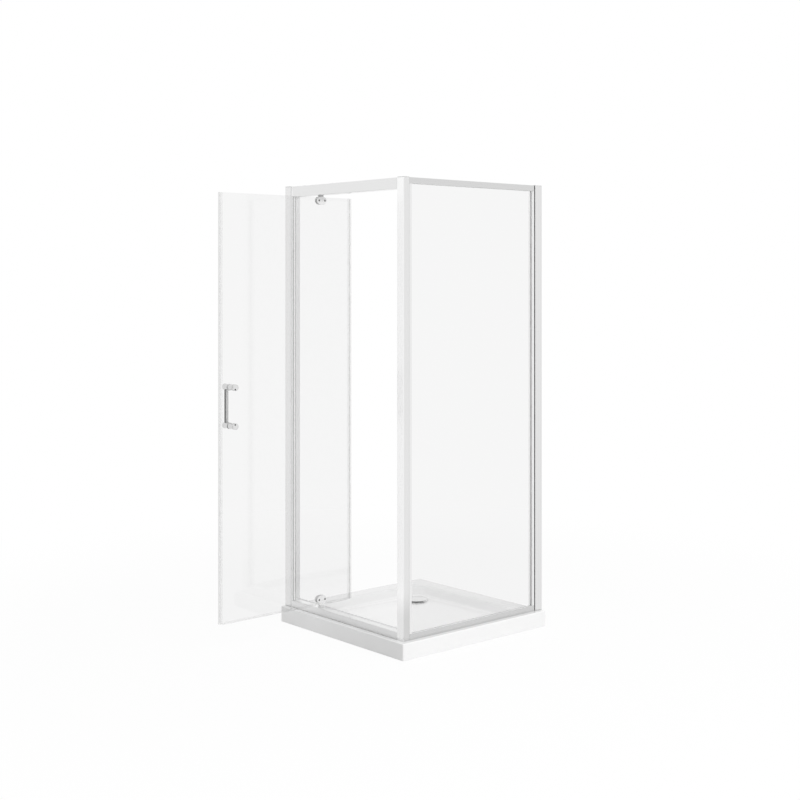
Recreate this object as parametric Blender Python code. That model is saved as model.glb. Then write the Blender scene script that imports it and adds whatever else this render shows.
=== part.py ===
"""Square shower enclosure: pivot door, fixed glass side and raised tray.

Metres, +Z up. The origin is the centre of the tray at floor level. The door side faces -Y,
the fixed glass side faces +X, and the room's two walls stand at -X and +Y.
Profiles of the frame are drawn in two distances: along, measured from the wall, and depth,
measured inwards from the frame's outer plane. The door is drawn closed in its own frame,
about its pivot, and its empty turns it open.
"""

import math

import bmesh
import bpy
from mathutils import Matrix

# Enclosure
FRAME_SIDE = 0.797
FRAME_HEIGHT = 1.850
FRAME_DEPTH = 0.042
SIDE_DEPTH = 0.034
SIDE_FRAME_DEPTH = 0.014
PROFILE_WALL = 0.0018
PROFILE_RADIUS = 0.0015
DOOR_OPEN_ANGLE = math.radians(90)

# Clearances
SEAT = 0.0003
OVERRUN = 0.004

# Tray
TRAY_LEDGE = 0.026
TRAY_HEIGHT = 0.068
TRAY_WALL = 0.005
TRAY_CORNER_RADIUS = 0.008
TRAY_EDGE_RADIUS = 0.004
TRAY_RIM = 0.078
BOWL_CORNER_RADIUS = 0.060
BOWL_SLOPE_RUN = 0.055
BOWL_DEPTH = 0.030
FLOOR_FALL = 0.004
SKIRT_CLEARANCE = 0.001
BOARD_THICKNESS = 0.009
BOARD_MARGIN = 0.012
BOARD_WASTE_CLEARANCE = 0.070
FOOT_PAD_RADIUS = 0.026
FOOT_PAD_HEIGHT = 0.006
FOOT_STUD_RADIUS = 0.012
FOOT_EDGE_INSET = 0.045

# Waste
WASTE_WALL_INSET = 0.210
WASTE_RECESS_RADIUS = 0.055
WASTE_RECESS_DEPTH = 0.003
WASTE_RECESS_DRAFT = 0.001
WASTE_HOLE_RADIUS = 0.0425
WASTE_TAIL_CLEARANCE = 0.001
WASTE_TAIL_WALL = 0.006
WASTE_TAIL_END = 0.005
WASTE_FLANGE_THICKNESS = 0.0025
WASTE_SEAT_STEP = 0.0025
WASTE_SEAT_DROP = 0.0065
WASHER_THICKNESS = 0.003
BACKNUT_HEIGHT = 0.010
BACKNUT_RADIUS = 0.053
BACKNUT_LUGS = 8
STRAINER_DEPTH = 0.013
STRAINER_WALL = 0.0016
STRAINER_RIM = 0.002
STRAINER_STEM_RADIUS = 0.005
STRAINER_SLOTS = 8
STRAINER_SLOT_WIDTH = 0.004
STRAINER_SLOT_EDGE = 0.003
COVER_RADIUS = 0.051
COVER_LIFT = 0.006
COVER_THICKNESS = 0.0025
COVER_DOME = 0.0025
COVER_BOSS_WALL = 0.003
COVER_BOSS_DROP = 0.005

# Wall channels, expanders and their screws
CHANNEL_WIDTH = 0.041
CHANNEL_WALL = 0.0018
EXPANDER_START = 0.010
EXPANDER_END_FRONT = 0.050
EXPANDER_END_SIDE = 0.0453
EXPANDER_SIDE_RECESS = 0.0025
CAP_THICKNESS = 0.0015
CAP_LIP = 0.0008
WALL_HOLE_RADIUS = 0.0025
WALL_HOLE_HEIGHT_SHARES = (0.1, 0.5, 0.9)
SCREW_HEAD_RADIUS = 0.0045
SCREW_HEAD_HEIGHT = 0.0024
SCREW_CROWN_SHARE = 0.6
SCREW_RIM_SHARE = 0.4
SCREW_SHANK_RADIUS = 0.002
SCREW_GRIP = 0.004
SCREW_FROM_WALL = 0.024
SCREW_HEIGHT_SHARES = (0.13, 0.87)

# Door frame
HEAD_RAIL_HEIGHT = 0.046
HEAD_RAIL_RADIUS = 0.003
SILL_HEIGHT = 0.030
SILL_NOSE = 0.004
SILL_LIP_WIDTH = 0.005
SILL_LIP_HEIGHT = 0.003
POST_WIDTH = 0.041
POST_RADIUS = 0.004
HINGE_JAMB_REACH = 0.014
HINGE_JAMB_WALL = 0.002
HINGE_JAMB_SET_BACK = 0.004
HINGE_JAMB_FOOT = 0.003
HINGE_JAMB_LIP = 0.003
STRIKE_STRIP_THICKNESS = 0.0075
STRIKE_STRIP_WIDTH = 0.010

# Fixed side
SIDE_JAMB_WIDTH = 0.012
SIDE_RAIL_HEIGHT = 0.024
GLASS = 0.006
GASKET = 0.0014
GASKET_LIP = 0.0015
GLAZING_DEPTH = 0.009

# Door
PIVOT_FROM_WALL = 0.2265
DOOR_PLANE_FROM_BACK = 0.020
DOOR_SILL_GAP = 0.011
DOOR_HEAD_GAP = 0.008
DOOR_GLASS_CORNER = 0.003
TAIL_CLEARANCE = 0.010
MAGNET_GAP = 0.0008
SEAL_ARM = 0.0016
LEAD_SEAL_WIDTH = 0.016
LEAD_SEAL_NOSE = 0.006
TAIL_SEAL_WIDTH = 0.018
TAIL_SEAL_NOSE = 0.005
TAIL_FIN_GAP = 0.0006
SEAL_FIN_THICKNESS = 0.0014
BOTTOM_SEAL_ARM_HEIGHT = 0.006
BOTTOM_SEAL_LIP_GAP = 0.003
BOTTOM_SEAL_HINGE_GAP = 0.004

# Pivot hinges
PLATE_LENGTH = 0.052
PLATE_HEIGHT = 0.034
PLATE_THICKNESS = 0.005
PLATE_EDGE_RADIUS = 0.002
PLATE_INSET_TOP = 0.0148
PLATE_INSET_BOTTOM = 0.022
PAD_THICKNESS = 0.001
PAD_INSET = 0.0015
HINGE_SCREW_SPACING = 0.031
HINGE_SCREW_HEAD_RADIUS = 0.0042
HINGE_SCREW_HEAD_HEIGHT = 0.0024
HINGE_SCREW_SOCKET_RADIUS = 0.002
HINGE_SCREW_SOCKET_DEPTH = 0.0016
HINGE_SCREW_SHANK_RADIUS = 0.0025
HINGE_SCREW_GRIP = 0.003
NOTCH_WIDTH = 0.040
NOTCH_BEYOND_SCREWS = 0.007
NOTCH_RADIUS = 0.006
BLOCK_WIDTH = 0.020
BLOCK_CLEARANCE = 0.002
BLOCK_REACH = 0.003
PIVOT_ROOT = 0.0026
PIVOT_PIN_RADIUS = 0.005
PIVOT_PIN_REACH = 0.012
PIVOT_SHOULDER_RADIUS = 0.008
BUSH_RADIUS = 0.008
BUSH_COLLAR_RADIUS = 0.012
BUSH_COLLAR_HEIGHT = 0.004
BUSH_DEPTH = 0.014

# Handle
HANDLE_FROM_EDGE = 0.0555
HANDLE_HEIGHT = 0.9225
HANDLE_CENTRES = 0.158
HANDLE_POST_RADIUS = 0.0135
HANDLE_POST_WAIST = 0.0120
HANDLE_POST_LENGTH = 0.036
HANDLE_POST_EDGE = 0.002
HANDLE_BAR_WIDTH = 0.013
HANDLE_BAR_DEPTH = 0.014
HANDLE_BAR_RADIUS = 0.003
HANDLE_BAR_OFFSET = 0.028
HANDLE_BAR_TUCK = 0.004
KNOB_LENGTH = 0.040
KNOB_GROOVE = 0.001
KNOB_GROOVE_FROM_END = 0.012
KNOB_DOME = 0.003
STUD_RADIUS = 0.003
STUD_GRIP = 0.010
SLEEVE_RADIUS = 0.0055
SLEEVE_FLANGE = 0.001
HANDLE_HOLE_RADIUS = 0.006

# Facets
CORNER_STEPS = 8
EDGE_STEPS = 2
SLOPE_STEPS = 6
SMALL_STEPS = 4
ROUND_SIDES = 32
SMALL_SIDES = 16
DRILLED_LENGTHS = 8
ROUND_PROFILE = 0.5
MERGE_DISTANCE = 0.000001

# Places that follow from the sizes
TRAY_SIDE = FRAME_SIDE + TRAY_LEDGE
WALL_X = -TRAY_SIDE / 2
WALL_Y = TRAY_SIDE / 2
FRONT_Y = -TRAY_SIDE / 2 + TRAY_LEDGE
SIDE_X = TRAY_SIDE / 2 - TRAY_LEDGE
BASE_Z = TRAY_HEIGHT + SEAT
TOP_Z = BASE_Z + FRAME_HEIGHT
POST_FACE = FRAME_DEPTH - SIDE_JAMB_WIDTH
PIVOT_X = WALL_X + PIVOT_FROM_WALL
DOOR_PLANE_DEPTH = FRAME_DEPTH - DOOR_PLANE_FROM_BACK
PIVOT_Y = FRONT_Y + DOOR_PLANE_DEPTH
FLOOR_Z = TRAY_HEIGHT - BOWL_DEPTH
FLOOR_LOW_Z = FLOOR_Z - FLOOR_FALL
RECESS_Z = FLOOR_LOW_Z - WASTE_RECESS_DEPTH
WASTE_X = WALL_X + WASTE_WALL_INSET
WASTE_Y = WALL_Y - WASTE_WALL_INSET
BOARD_TOP_Z = FLOOR_LOW_Z - TRAY_WALL - SEAT
BOARD_BOTTOM_Z = BOARD_TOP_Z - BOARD_THICKNESS
WASTE_TAIL_RADIUS = WASTE_HOLE_RADIUS - WASTE_TAIL_CLEARANCE
WASTE_SEAT_RADIUS = WASTE_TAIL_RADIUS - WASTE_TAIL_WALL + WASTE_SEAT_STEP
WASTE_BORE_RADIUS = WASTE_TAIL_RADIUS - WASTE_TAIL_WALL
WASTE_TOP_Z = RECESS_Z + SEAT + WASTE_FLANGE_THICKNESS
WASTE_SEAT_Z = WASTE_TOP_Z - WASTE_SEAT_DROP
COVER_Z = FLOOR_LOW_Z + COVER_LIFT
DOOR_LEAD = (FRAME_SIDE - PIVOT_FROM_WALL - POST_WIDTH - SEAT
             - STRIKE_STRIP_THICKNESS - MAGNET_GAP)
DOOR_TAIL = PIVOT_FROM_WALL - EXPANDER_END_FRONT - TAIL_CLEARANCE
HINGE_JAMB_BACK = HINGE_JAMB_SET_BACK + HINGE_JAMB_WALL
TAIL_SEAL_FIN = (DOOR_PLANE_DEPTH - GLASS / 2 - SEAT - SEAL_ARM
                 - HINGE_JAMB_BACK - HINGE_JAMB_LIP - TAIL_FIN_GAP)
HANDLE_X = DOOR_LEAD - HANDLE_FROM_EDGE
SILL_TOP_Z = BASE_Z + SILL_HEIGHT
HEAD_BOTTOM_Z = TOP_Z - HEAD_RAIL_HEIGHT
DOOR_BOTTOM_Z = SILL_TOP_Z + DOOR_SILL_GAP
DOOR_TOP_Z = HEAD_BOTTOM_Z - DOOR_HEAD_GAP
PAD_START = GLASS / 2 + SEAT
PLATE_START = PAD_START + PAD_THICKNESS + SEAT


def clear_scene():
    for item in list(bpy.data.objects):
        bpy.data.objects.remove(item, do_unlink=True)


def make_material(name, colour, roughness, metallic=0.0, alpha=1.0):
    material = bpy.data.materials.new(name)
    material.use_nodes = True
    shader = material.node_tree.nodes["Principled BSDF"]
    shader.inputs["Base Color"].default_value = (*colour, 1.0)
    shader.inputs["Roughness"].default_value = roughness
    shader.inputs["Metallic"].default_value = metallic
    shader.inputs["Alpha"].default_value = alpha
    return material


def rectangle(a0, b0, a1, b1):
    return [(a0, b0), (a1, b0), (a1, b1), (a0, b1)]


def arc(centre, radius, start, end, steps):
    """Points on an arc; the angles are in degrees, and both ends are included."""
    points = []
    for step in range(steps + 1):
        angle = math.radians(start + (end - start) * step / steps)
        points.append((centre[0] + radius * math.cos(angle), centre[1] + radius * math.sin(angle)))
    return points


def circle(centre, radius, sides):
    return arc(centre, radius, 0, 360, sides)[:-1]


def rounded_rectangle(a0, b0, a1, b1, radius, steps):
    """Counter-clockwise, starting with the corner at a1, b0."""
    return (arc((a1 - radius, b0 + radius), radius, -90, 0, steps)
            + arc((a1 - radius, b1 - radius), radius, 0, 90, steps)
            + arc((a0 + radius, b1 - radius), radius, 90, 180, steps)
            + arc((a0 + radius, b0 + radius), radius, 180, 270, steps))


def stadium(centre, length, height, steps):
    """A flat oval with round ends, long along its first axis."""
    radius = height / 2
    reach = length / 2 - radius
    right = arc((centre[0] + reach, centre[1]), radius, -90, 90, steps)
    left = arc((centre[0] - reach, centre[1]), radius, 90, 270, steps)
    return right + left


def add_object(name, mesh_source, material, origin=(0, 0, 0), parent=None):
    """Make the object of one sub-part, with its origin at a useful point."""
    bmesh.ops.recalc_face_normals(mesh_source, faces=mesh_source.faces[:])
    bmesh.ops.translate(mesh_source, verts=mesh_source.verts[:], vec=[-value for value in origin])
    mesh = bpy.data.meshes.new(name)
    mesh_source.to_mesh(mesh)
    mesh_source.free()
    mesh.shade_smooth()
    mesh.set_sharp_from_angle(angle=math.radians(32))
    item = bpy.data.objects.new(name, mesh)
    item.location = origin
    item.parent = parent
    mesh.materials.append(material)
    bpy.context.scene.collection.objects.link(item)
    return item


def copy_object(source, name, origin):
    item = source.copy()
    item.name = name
    item.location = origin
    bpy.context.scene.collection.objects.link(item)
    return item


def as_tool(item):
    """Mark a cutter, or a form that is joined to another piece."""
    item.hide_render = True
    item.display_type = "WIRE"
    return item


def boolean(item, tool, operation="DIFFERENCE"):
    modifier = item.modifiers.new(tool.name, "BOOLEAN")
    modifier.object = as_tool(tool)
    modifier.operation = operation
    modifier.solver = "EXACT"


def axis_frame(plane):
    """Turn a drawing's axes and its extrusion into the object's axes."""
    columns = {
        "XY": ((1, 0, 0), (0, 1, 0), (0, 0, 1)),
        "YZ": ((0, 1, 0), (0, 0, 1), (1, 0, 0)),
        "XZ": ((1, 0, 0), (0, 0, 1), (0, 1, 0)),
    }[plane]
    return Matrix(columns).transposed().to_4x4()


def prism_mesh(loops, plane, start, end, lengths=1):
    """Extrude an outline, with any holes, along the plane's normal, in one or more equal lengths."""
    bm = bmesh.new()
    for loop in loops:
        corners = [bm.verts.new((a, b, start)) for a, b in loop]
        for index, corner in enumerate(corners):
            bm.edges.new((corners[index - 1], corner))
    bmesh.ops.triangle_fill(bm, use_beauty=True, edges=bm.edges[:], normal=(0, 0, 1))
    raised = bmesh.ops.extrude_face_region(bm, geom=bm.faces[:])
    lifted = [part for part in raised["geom"] if isinstance(part, bmesh.types.BMVert)]
    bmesh.ops.translate(bm, verts=lifted, vec=(0, 0, end - start))
    for number in range(1, lengths):
        height = start + (end - start) * number / lengths
        bmesh.ops.bisect_plane(bm, geom=bm.verts[:] + bm.edges[:] + bm.faces[:],
                               plane_co=(0, 0, height), plane_no=(0, 0, 1))
    bmesh.ops.transform(bm, matrix=axis_frame(plane), verts=bm.verts[:])
    return bm


def prism(name, loops, plane, start, end, material, origin=(0, 0, 0), parent=None, lengths=1):
    bm = prism_mesh(loops, plane, start, end, lengths)
    return add_object(name, bm, material, origin, parent)


def turned_mesh(profile, sides, matrix, closed):
    """Turn a profile of (radius, height) points about the Z axis, then place it."""
    bm = bmesh.new()
    points = [bm.verts.new((radius, 0, height)) for radius, height in profile]
    pairs = list(zip(points, points[1:]))
    if closed:
        pairs.append((points[-1], points[0]))
    for pair in pairs:
        bm.edges.new(pair)
    bmesh.ops.spin(bm, geom=bm.verts[:] + bm.edges[:], cent=(0, 0, 0), axis=(0, 0, 1),
                   angle=math.tau, steps=sides, use_merge=True)
    bmesh.ops.remove_doubles(bm, verts=bm.verts[:], dist=MERGE_DISTANCE)
    bmesh.ops.transform(bm, matrix=matrix, verts=bm.verts[:])
    return bm


def turned(name, profile, sides, matrix, material, origin=(0, 0, 0), parent=None, closed=False):
    """A profile that starts and ends on the axis is left open; a ring's profile is closed."""
    return add_object(name, turned_mesh(profile, sides, matrix, closed), material, origin, parent)


def place(x, y, z, turn=None):
    """A place, and the turn that sends the turned piece's own +Z along another axis."""
    turns = {
        None: Matrix(),
        "+Y": Matrix.Rotation(math.radians(-90), 4, "X"),
        "-Y": Matrix.Rotation(math.radians(90), 4, "X"),
        "+X": Matrix.Rotation(math.radians(90), 4, "Y"),
        "-Z": Matrix.Rotation(math.radians(180), 4, "X"),
    }
    return Matrix.Translation((x, y, z)) @ turns[turn]


def cylinder(name, radius, start, end, sides, matrix, material, parent=None):
    profile = [(0, start), (radius, start), (radius, end), (0, end)]
    return turned(name, profile, sides, matrix, material, parent=parent)


def front_plan(points):
    """Drawing of the door side: distance from the wall and depth, to plan."""
    return [(WALL_X + along, FRONT_Y + depth) for along, depth in points]


def side_plan(points):
    """Drawing of the fixed side: distance from the wall and depth, to plan."""
    return [(SIDE_X - depth, WALL_Y - along) for along, depth in points]


def front_section(points):
    """Drawing of a rail of the door side: depth and height, to YZ."""
    return [(FRONT_Y + depth, BASE_Z + height) for depth, height in points]


def side_section(points):
    """Drawing of a rail of the fixed side: depth and height, to XZ."""
    return [(SIDE_X - depth, BASE_Z + height) for depth, height in points]


# Tray

def square_ring(inset, radius, z):
    half = TRAY_SIDE / 2 - inset
    corners = rounded_rectangle(-half, -half, half, half, radius, CORNER_STEPS)
    return [(x, y, z) for x, y in corners]


def waste_ring(radius, z):
    """A ring about the waste, with as many points as the tray's square rings."""
    count = 4 * (CORNER_STEPS + 1)
    points = []
    for index in range(count):
        angle = math.tau * (index + 0.5) / count - math.pi / 2
        points.append((WASTE_X + radius * math.cos(angle), WASTE_Y + radius * math.sin(angle), z))
    return points


def loft_closed(rings):
    """Skin a closed series of rings that all have the same number of points."""
    bm = bmesh.new()
    rows = [[bm.verts.new(point) for point in ring] for ring in rings]
    for number, row in enumerate(rows):
        previous = rows[number - 1]
        for index in range(len(row)):
            bm.faces.new((previous[index - 1], previous[index], row[index], row[index - 1]))
    return bm


def make_tray(material):
    rings = [square_ring(0, TRAY_CORNER_RADIUS, SKIRT_CLEARANCE)]
    for step in range(EDGE_STEPS + 1):
        angle = math.pi / 2 * step / EDGE_STEPS
        inset = TRAY_EDGE_RADIUS * (1 - math.cos(angle))
        height = TRAY_HEIGHT - TRAY_EDGE_RADIUS * (1 - math.sin(angle))
        rings.append(square_ring(inset, TRAY_CORNER_RADIUS - inset, height))
    slope = []
    for step in range(SLOPE_STEPS + 1):
        share = step / SLOPE_STEPS
        inset = TRAY_RIM + BOWL_SLOPE_RUN * share
        slope.append((inset, BOWL_DEPTH * share * share * (3 - 2 * share)))
    for inset, drop in slope:
        rings.append(square_ring(inset, BOWL_CORNER_RADIUS, TRAY_HEIGHT - drop))
    rings.append(waste_ring(WASTE_RECESS_RADIUS, FLOOR_LOW_Z))
    rings.append(waste_ring(WASTE_RECESS_RADIUS - WASTE_RECESS_DRAFT, RECESS_Z))
    rings.append(waste_ring(WASTE_HOLE_RADIUS, RECESS_Z))
    under_z = FLOOR_LOW_Z - TRAY_WALL
    rings.append(waste_ring(WASTE_HOLE_RADIUS, RECESS_Z - TRAY_WALL))
    rings.append(waste_ring(WASTE_RECESS_RADIUS + TRAY_WALL - WASTE_RECESS_DRAFT, RECESS_Z - TRAY_WALL))
    rings.append(waste_ring(WASTE_RECESS_RADIUS + TRAY_WALL, under_z))
    under_depth = TRAY_HEIGHT - TRAY_WALL - under_z
    for inset, drop in reversed(slope):
        height = TRAY_HEIGHT - TRAY_WALL - under_depth * drop / BOWL_DEPTH
        rings.append(square_ring(inset, BOWL_CORNER_RADIUS, height))
    inner_radius = max(TRAY_CORNER_RADIUS - TRAY_WALL, TRAY_CORNER_RADIUS / 2)
    rings.append(square_ring(TRAY_WALL, inner_radius, TRAY_HEIGHT - TRAY_WALL))
    rings.append(square_ring(TRAY_WALL, inner_radius, SKIRT_CLEARANCE))
    add_object("shower_tray", loft_closed(rings), material)


def make_tray_base(board_material, foot_material):
    half = TRAY_SIDE / 2 - TRAY_RIM - BOWL_SLOPE_RUN - BOARD_MARGIN
    notch_x = WASTE_X + BOARD_WASTE_CLEARANCE
    notch_y = WASTE_Y - BOARD_WASTE_CLEARANCE
    outline = [(-half, -half), (half, -half), (half, half), (notch_x, half),
               (notch_x, notch_y), (-half, notch_y)]
    prism("tray_base_board", [outline], "XY", BOARD_BOTTOM_Z, BOARD_TOP_Z, board_material,
          origin=(0, 0, BOARD_BOTTOM_Z))
    reach = half - FOOT_EDGE_INSET
    stud_top = BOARD_BOTTOM_Z - SEAT
    profile = [(0, 0), (FOOT_PAD_RADIUS, 0), (FOOT_PAD_RADIUS, FOOT_PAD_HEIGHT),
               (FOOT_STUD_RADIUS, FOOT_PAD_HEIGHT), (FOOT_STUD_RADIUS, stud_top), (0, stud_top)]
    centre = turned("tray_foot_centre", profile, SMALL_SIDES, place(0, 0, 0), foot_material)
    places = {
        "tray_foot_front_left": (-reach, -reach, 0),
        "tray_foot_front_right": (reach, -reach, 0),
        "tray_foot_back_right": (reach, reach, 0),
        "tray_foot_back_left": (-reach, notch_y - FOOT_EDGE_INSET, 0),
    }
    for name, origin in places.items():
        copy_object(centre, name, origin)


# Waste

def make_waste(chrome, rubber, plastic):
    origin = (WASTE_X, WASTE_Y, WASTE_SEAT_Z)
    here = place(WASTE_X, WASTE_Y, 0)
    flange_z = RECESS_Z + SEAT
    flange_radius = WASTE_RECESS_RADIUS - WASTE_RECESS_DRAFT - SEAT
    flange = [(flange_radius, flange_z), (flange_radius, WASTE_TOP_Z),
              (WASTE_SEAT_RADIUS, WASTE_TOP_Z), (WASTE_SEAT_RADIUS, WASTE_SEAT_Z),
              (WASTE_BORE_RADIUS, WASTE_SEAT_Z), (WASTE_BORE_RADIUS, WASTE_TAIL_END),
              (WASTE_TAIL_RADIUS, WASTE_TAIL_END), (WASTE_TAIL_RADIUS, flange_z)]
    turned("waste_flange", flange, ROUND_SIDES, here, chrome, origin, closed=True)

    washer_top = RECESS_Z - TRAY_WALL - SEAT
    washer_bottom = washer_top - WASHER_THICKNESS
    bore = WASTE_TAIL_RADIUS + SEAT
    washer = [(bore, washer_bottom), (BACKNUT_RADIUS, washer_bottom),
              (BACKNUT_RADIUS, washer_top), (bore, washer_top)]
    turned("waste_washer", washer, ROUND_SIDES, here, rubber, origin, closed=True)

    centre = (WASTE_X, WASTE_Y)
    nut_top = washer_bottom - SEAT
    nut = circle(centre, BACKNUT_RADIUS, BACKNUT_LUGS)
    prism("waste_backnut", [nut, circle(centre, bore + SEAT, ROUND_SIDES)], "XY",
          nut_top - BACKNUT_HEIGHT, nut_top, plastic, origin)

    rim_z = WASTE_SEAT_Z + SEAT
    rim_radius = WASTE_SEAT_RADIUS - SEAT
    cup_radius = WASTE_BORE_RADIUS - 2 * SEAT
    cup_z = WASTE_SEAT_Z - STRAINER_DEPTH
    stem_z = COVER_Z - SEAT
    strainer = [(0, cup_z), (cup_radius, cup_z), (cup_radius, rim_z), (rim_radius, rim_z),
                (rim_radius, rim_z + STRAINER_RIM),
                (cup_radius - STRAINER_WALL, rim_z + STRAINER_RIM),
                (cup_radius - STRAINER_WALL, cup_z + STRAINER_WALL),
                (STRAINER_STEM_RADIUS, cup_z + STRAINER_WALL),
                (STRAINER_STEM_RADIUS, stem_z), (0, stem_z)]
    cup = turned("waste_strainer", strainer, ROUND_SIDES, here, plastic, origin)
    slot_start = STRAINER_STEM_RADIUS + STRAINER_SLOT_EDGE
    slot_end = cup_radius - STRAINER_WALL - STRAINER_SLOT_EDGE
    slot = rectangle(slot_start, -STRAINER_SLOT_WIDTH / 2, slot_end, STRAINER_SLOT_WIDTH / 2)
    for index in range(STRAINER_SLOTS):
        bm = prism_mesh([slot], "XY", cup_z - OVERRUN, cup_z + STRAINER_WALL + OVERRUN)
        turn = Matrix.Rotation(math.tau * index / STRAINER_SLOTS, 4, "Z")
        bmesh.ops.transform(bm, matrix=here @ turn, verts=bm.verts[:])
        boolean(cup, add_object(f"strainer_slot_{index + 1}", bm, plastic))

    boss_bore = STRAINER_STEM_RADIUS + SEAT
    boss_z = COVER_Z - COVER_BOSS_DROP
    edge_z = COVER_Z + COVER_THICKNESS
    cover = [(0, COVER_Z), (boss_bore, COVER_Z), (boss_bore, boss_z),
             (boss_bore + COVER_BOSS_WALL, boss_z), (boss_bore + COVER_BOSS_WALL, COVER_Z),
             (COVER_RADIUS - COVER_THICKNESS / 2, COVER_Z), (COVER_RADIUS, COVER_Z + COVER_THICKNESS / 2)]
    for step in range(SMALL_STEPS + 1):
        share = step / SMALL_STEPS
        radius = (COVER_RADIUS - COVER_THICKNESS / 2) * (1 - share)
        cover.append((radius, edge_z + COVER_DOME * math.sin(share * math.pi / 2)))
    turned("waste_cover", cover, ROUND_SIDES, here, chrome, (WASTE_X, WASTE_Y, COVER_Z))


# Wall channels and expanders

def channel_outline(depth):
    """U profile, open away from the wall, round an expander of this depth."""
    inner_low = -SEAT
    inner_high = depth + SEAT
    outer_low = inner_low - CHANNEL_WALL
    outer_high = inner_high + CHANNEL_WALL
    return [(0, outer_low), (CHANNEL_WIDTH, outer_low), (CHANNEL_WIDTH, inner_low),
            (CHANNEL_WALL, inner_low), (CHANNEL_WALL, inner_high), (CHANNEL_WIDTH, inner_high),
            (CHANNEL_WIDTH, outer_high), (0, outer_high)]


def chamber(a0, b0, a1, b1):
    """Hollow of a box profile, one profile wall inside its outline."""
    return rectangle(a0 + PROFILE_WALL, b0 + PROFILE_WALL, a1 - PROFILE_WALL, b1 - PROFILE_WALL)


def make_wall_profiles(aluminium, plastic, steel):
    sides = {
        "front": (front_plan, FRAME_DEPTH, EXPANDER_END_FRONT, 0),
        "side": (side_plan, SIDE_DEPTH, EXPANDER_END_SIDE, EXPANDER_SIDE_RECESS),
    }
    for side, (plan, depth, reach, recess) in sides.items():
        origin = (*plan([(0, 0)])[0], BASE_Z)
        channel = prism(f"wall_channel_{side}", [plan(channel_outline(depth))], "XY",
                        BASE_Z, TOP_Z, aluminium, origin, lengths=DRILLED_LENGTHS)
        box = (EXPANDER_START, recess, reach, depth)
        expander = prism(f"expander_{side}",
                         [plan(rectangle(*box)), plan(chamber(*box))],
                         "XY", BASE_Z, TOP_Z, aluminium, origin, lengths=DRILLED_LENGTHS)
        cover_low = -SEAT - CHANNEL_WALL - CAP_LIP
        cover_high = depth + SEAT + CHANNEL_WALL + CAP_LIP
        cap = rounded_rectangle(0, cover_low, CHANNEL_WIDTH + CAP_LIP, cover_high,
                                PROFILE_RADIUS, SMALL_STEPS)
        cap_z = TOP_Z + SEAT
        prism(f"channel_cap_{side}", [plan(cap)], "XY", cap_z, cap_z + CAP_THICKNESS, plastic,
              (*origin[:2], cap_z))
        drill_wall_holes(side, channel, plan, depth)
        make_channel_screws(side, channel, expander, plan, depth, steel)


def drill_wall_holes(side, channel, plan, depth):
    x, y = plan([(0, depth / 2)])[0]
    axis = "+X" if side == "front" else "-Y"
    for number, share in enumerate(WALL_HOLE_HEIGHT_SHARES, start=1):
        here = place(x, y, BASE_Z + FRAME_HEIGHT * share, axis)
        hole = cylinder(f"wall_hole_{side}_{number}", WALL_HOLE_RADIUS, -OVERRUN,
                        CHANNEL_WALL + OVERRUN, SMALL_SIDES, here, channel.data.materials[0])
        boolean(channel, hole)


def make_channel_screws(side, channel, expander, plan, depth, steel):
    """Screws that hold the expander in its channel, driven from inside the enclosure."""
    x, y = plan([(SCREW_FROM_WALL, depth + SEAT + CHANNEL_WALL)])[0]
    axis = "+Y" if side == "front" else "+X"
    flip = 1 if side == "front" else -1
    reach = CHANNEL_WALL + SEAT + PROFILE_WALL + SCREW_GRIP
    top = SEAT + SCREW_HEAD_HEIGHT
    head = [(0, top), (SCREW_HEAD_RADIUS * SCREW_CROWN_SHARE, top),
            (SCREW_HEAD_RADIUS, SEAT + SCREW_HEAD_HEIGHT * SCREW_RIM_SHARE), (SCREW_HEAD_RADIUS, SEAT),
            (SCREW_SHANK_RADIUS, SEAT), (SCREW_SHANK_RADIUS, -reach), (0, -reach)]
    profile = [(radius, height * flip) for radius, height in head]
    for number, share in enumerate(SCREW_HEIGHT_SHARES, start=1):
        origin = (x, y, BASE_Z + FRAME_HEIGHT * share)
        here = place(*origin, axis)
        turned(f"channel_screw_{side}_{number}", profile, SMALL_SIDES, here, steel, origin)
        hole = cylinder(f"screw_hole_{side}_{number}", SCREW_SHANK_RADIUS + SEAT,
                        -reach - OVERRUN, reach + OVERRUN, SMALL_SIDES, here, steel)
        boolean(channel, hole)
        boolean(expander, hole)


# Door frame

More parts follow.
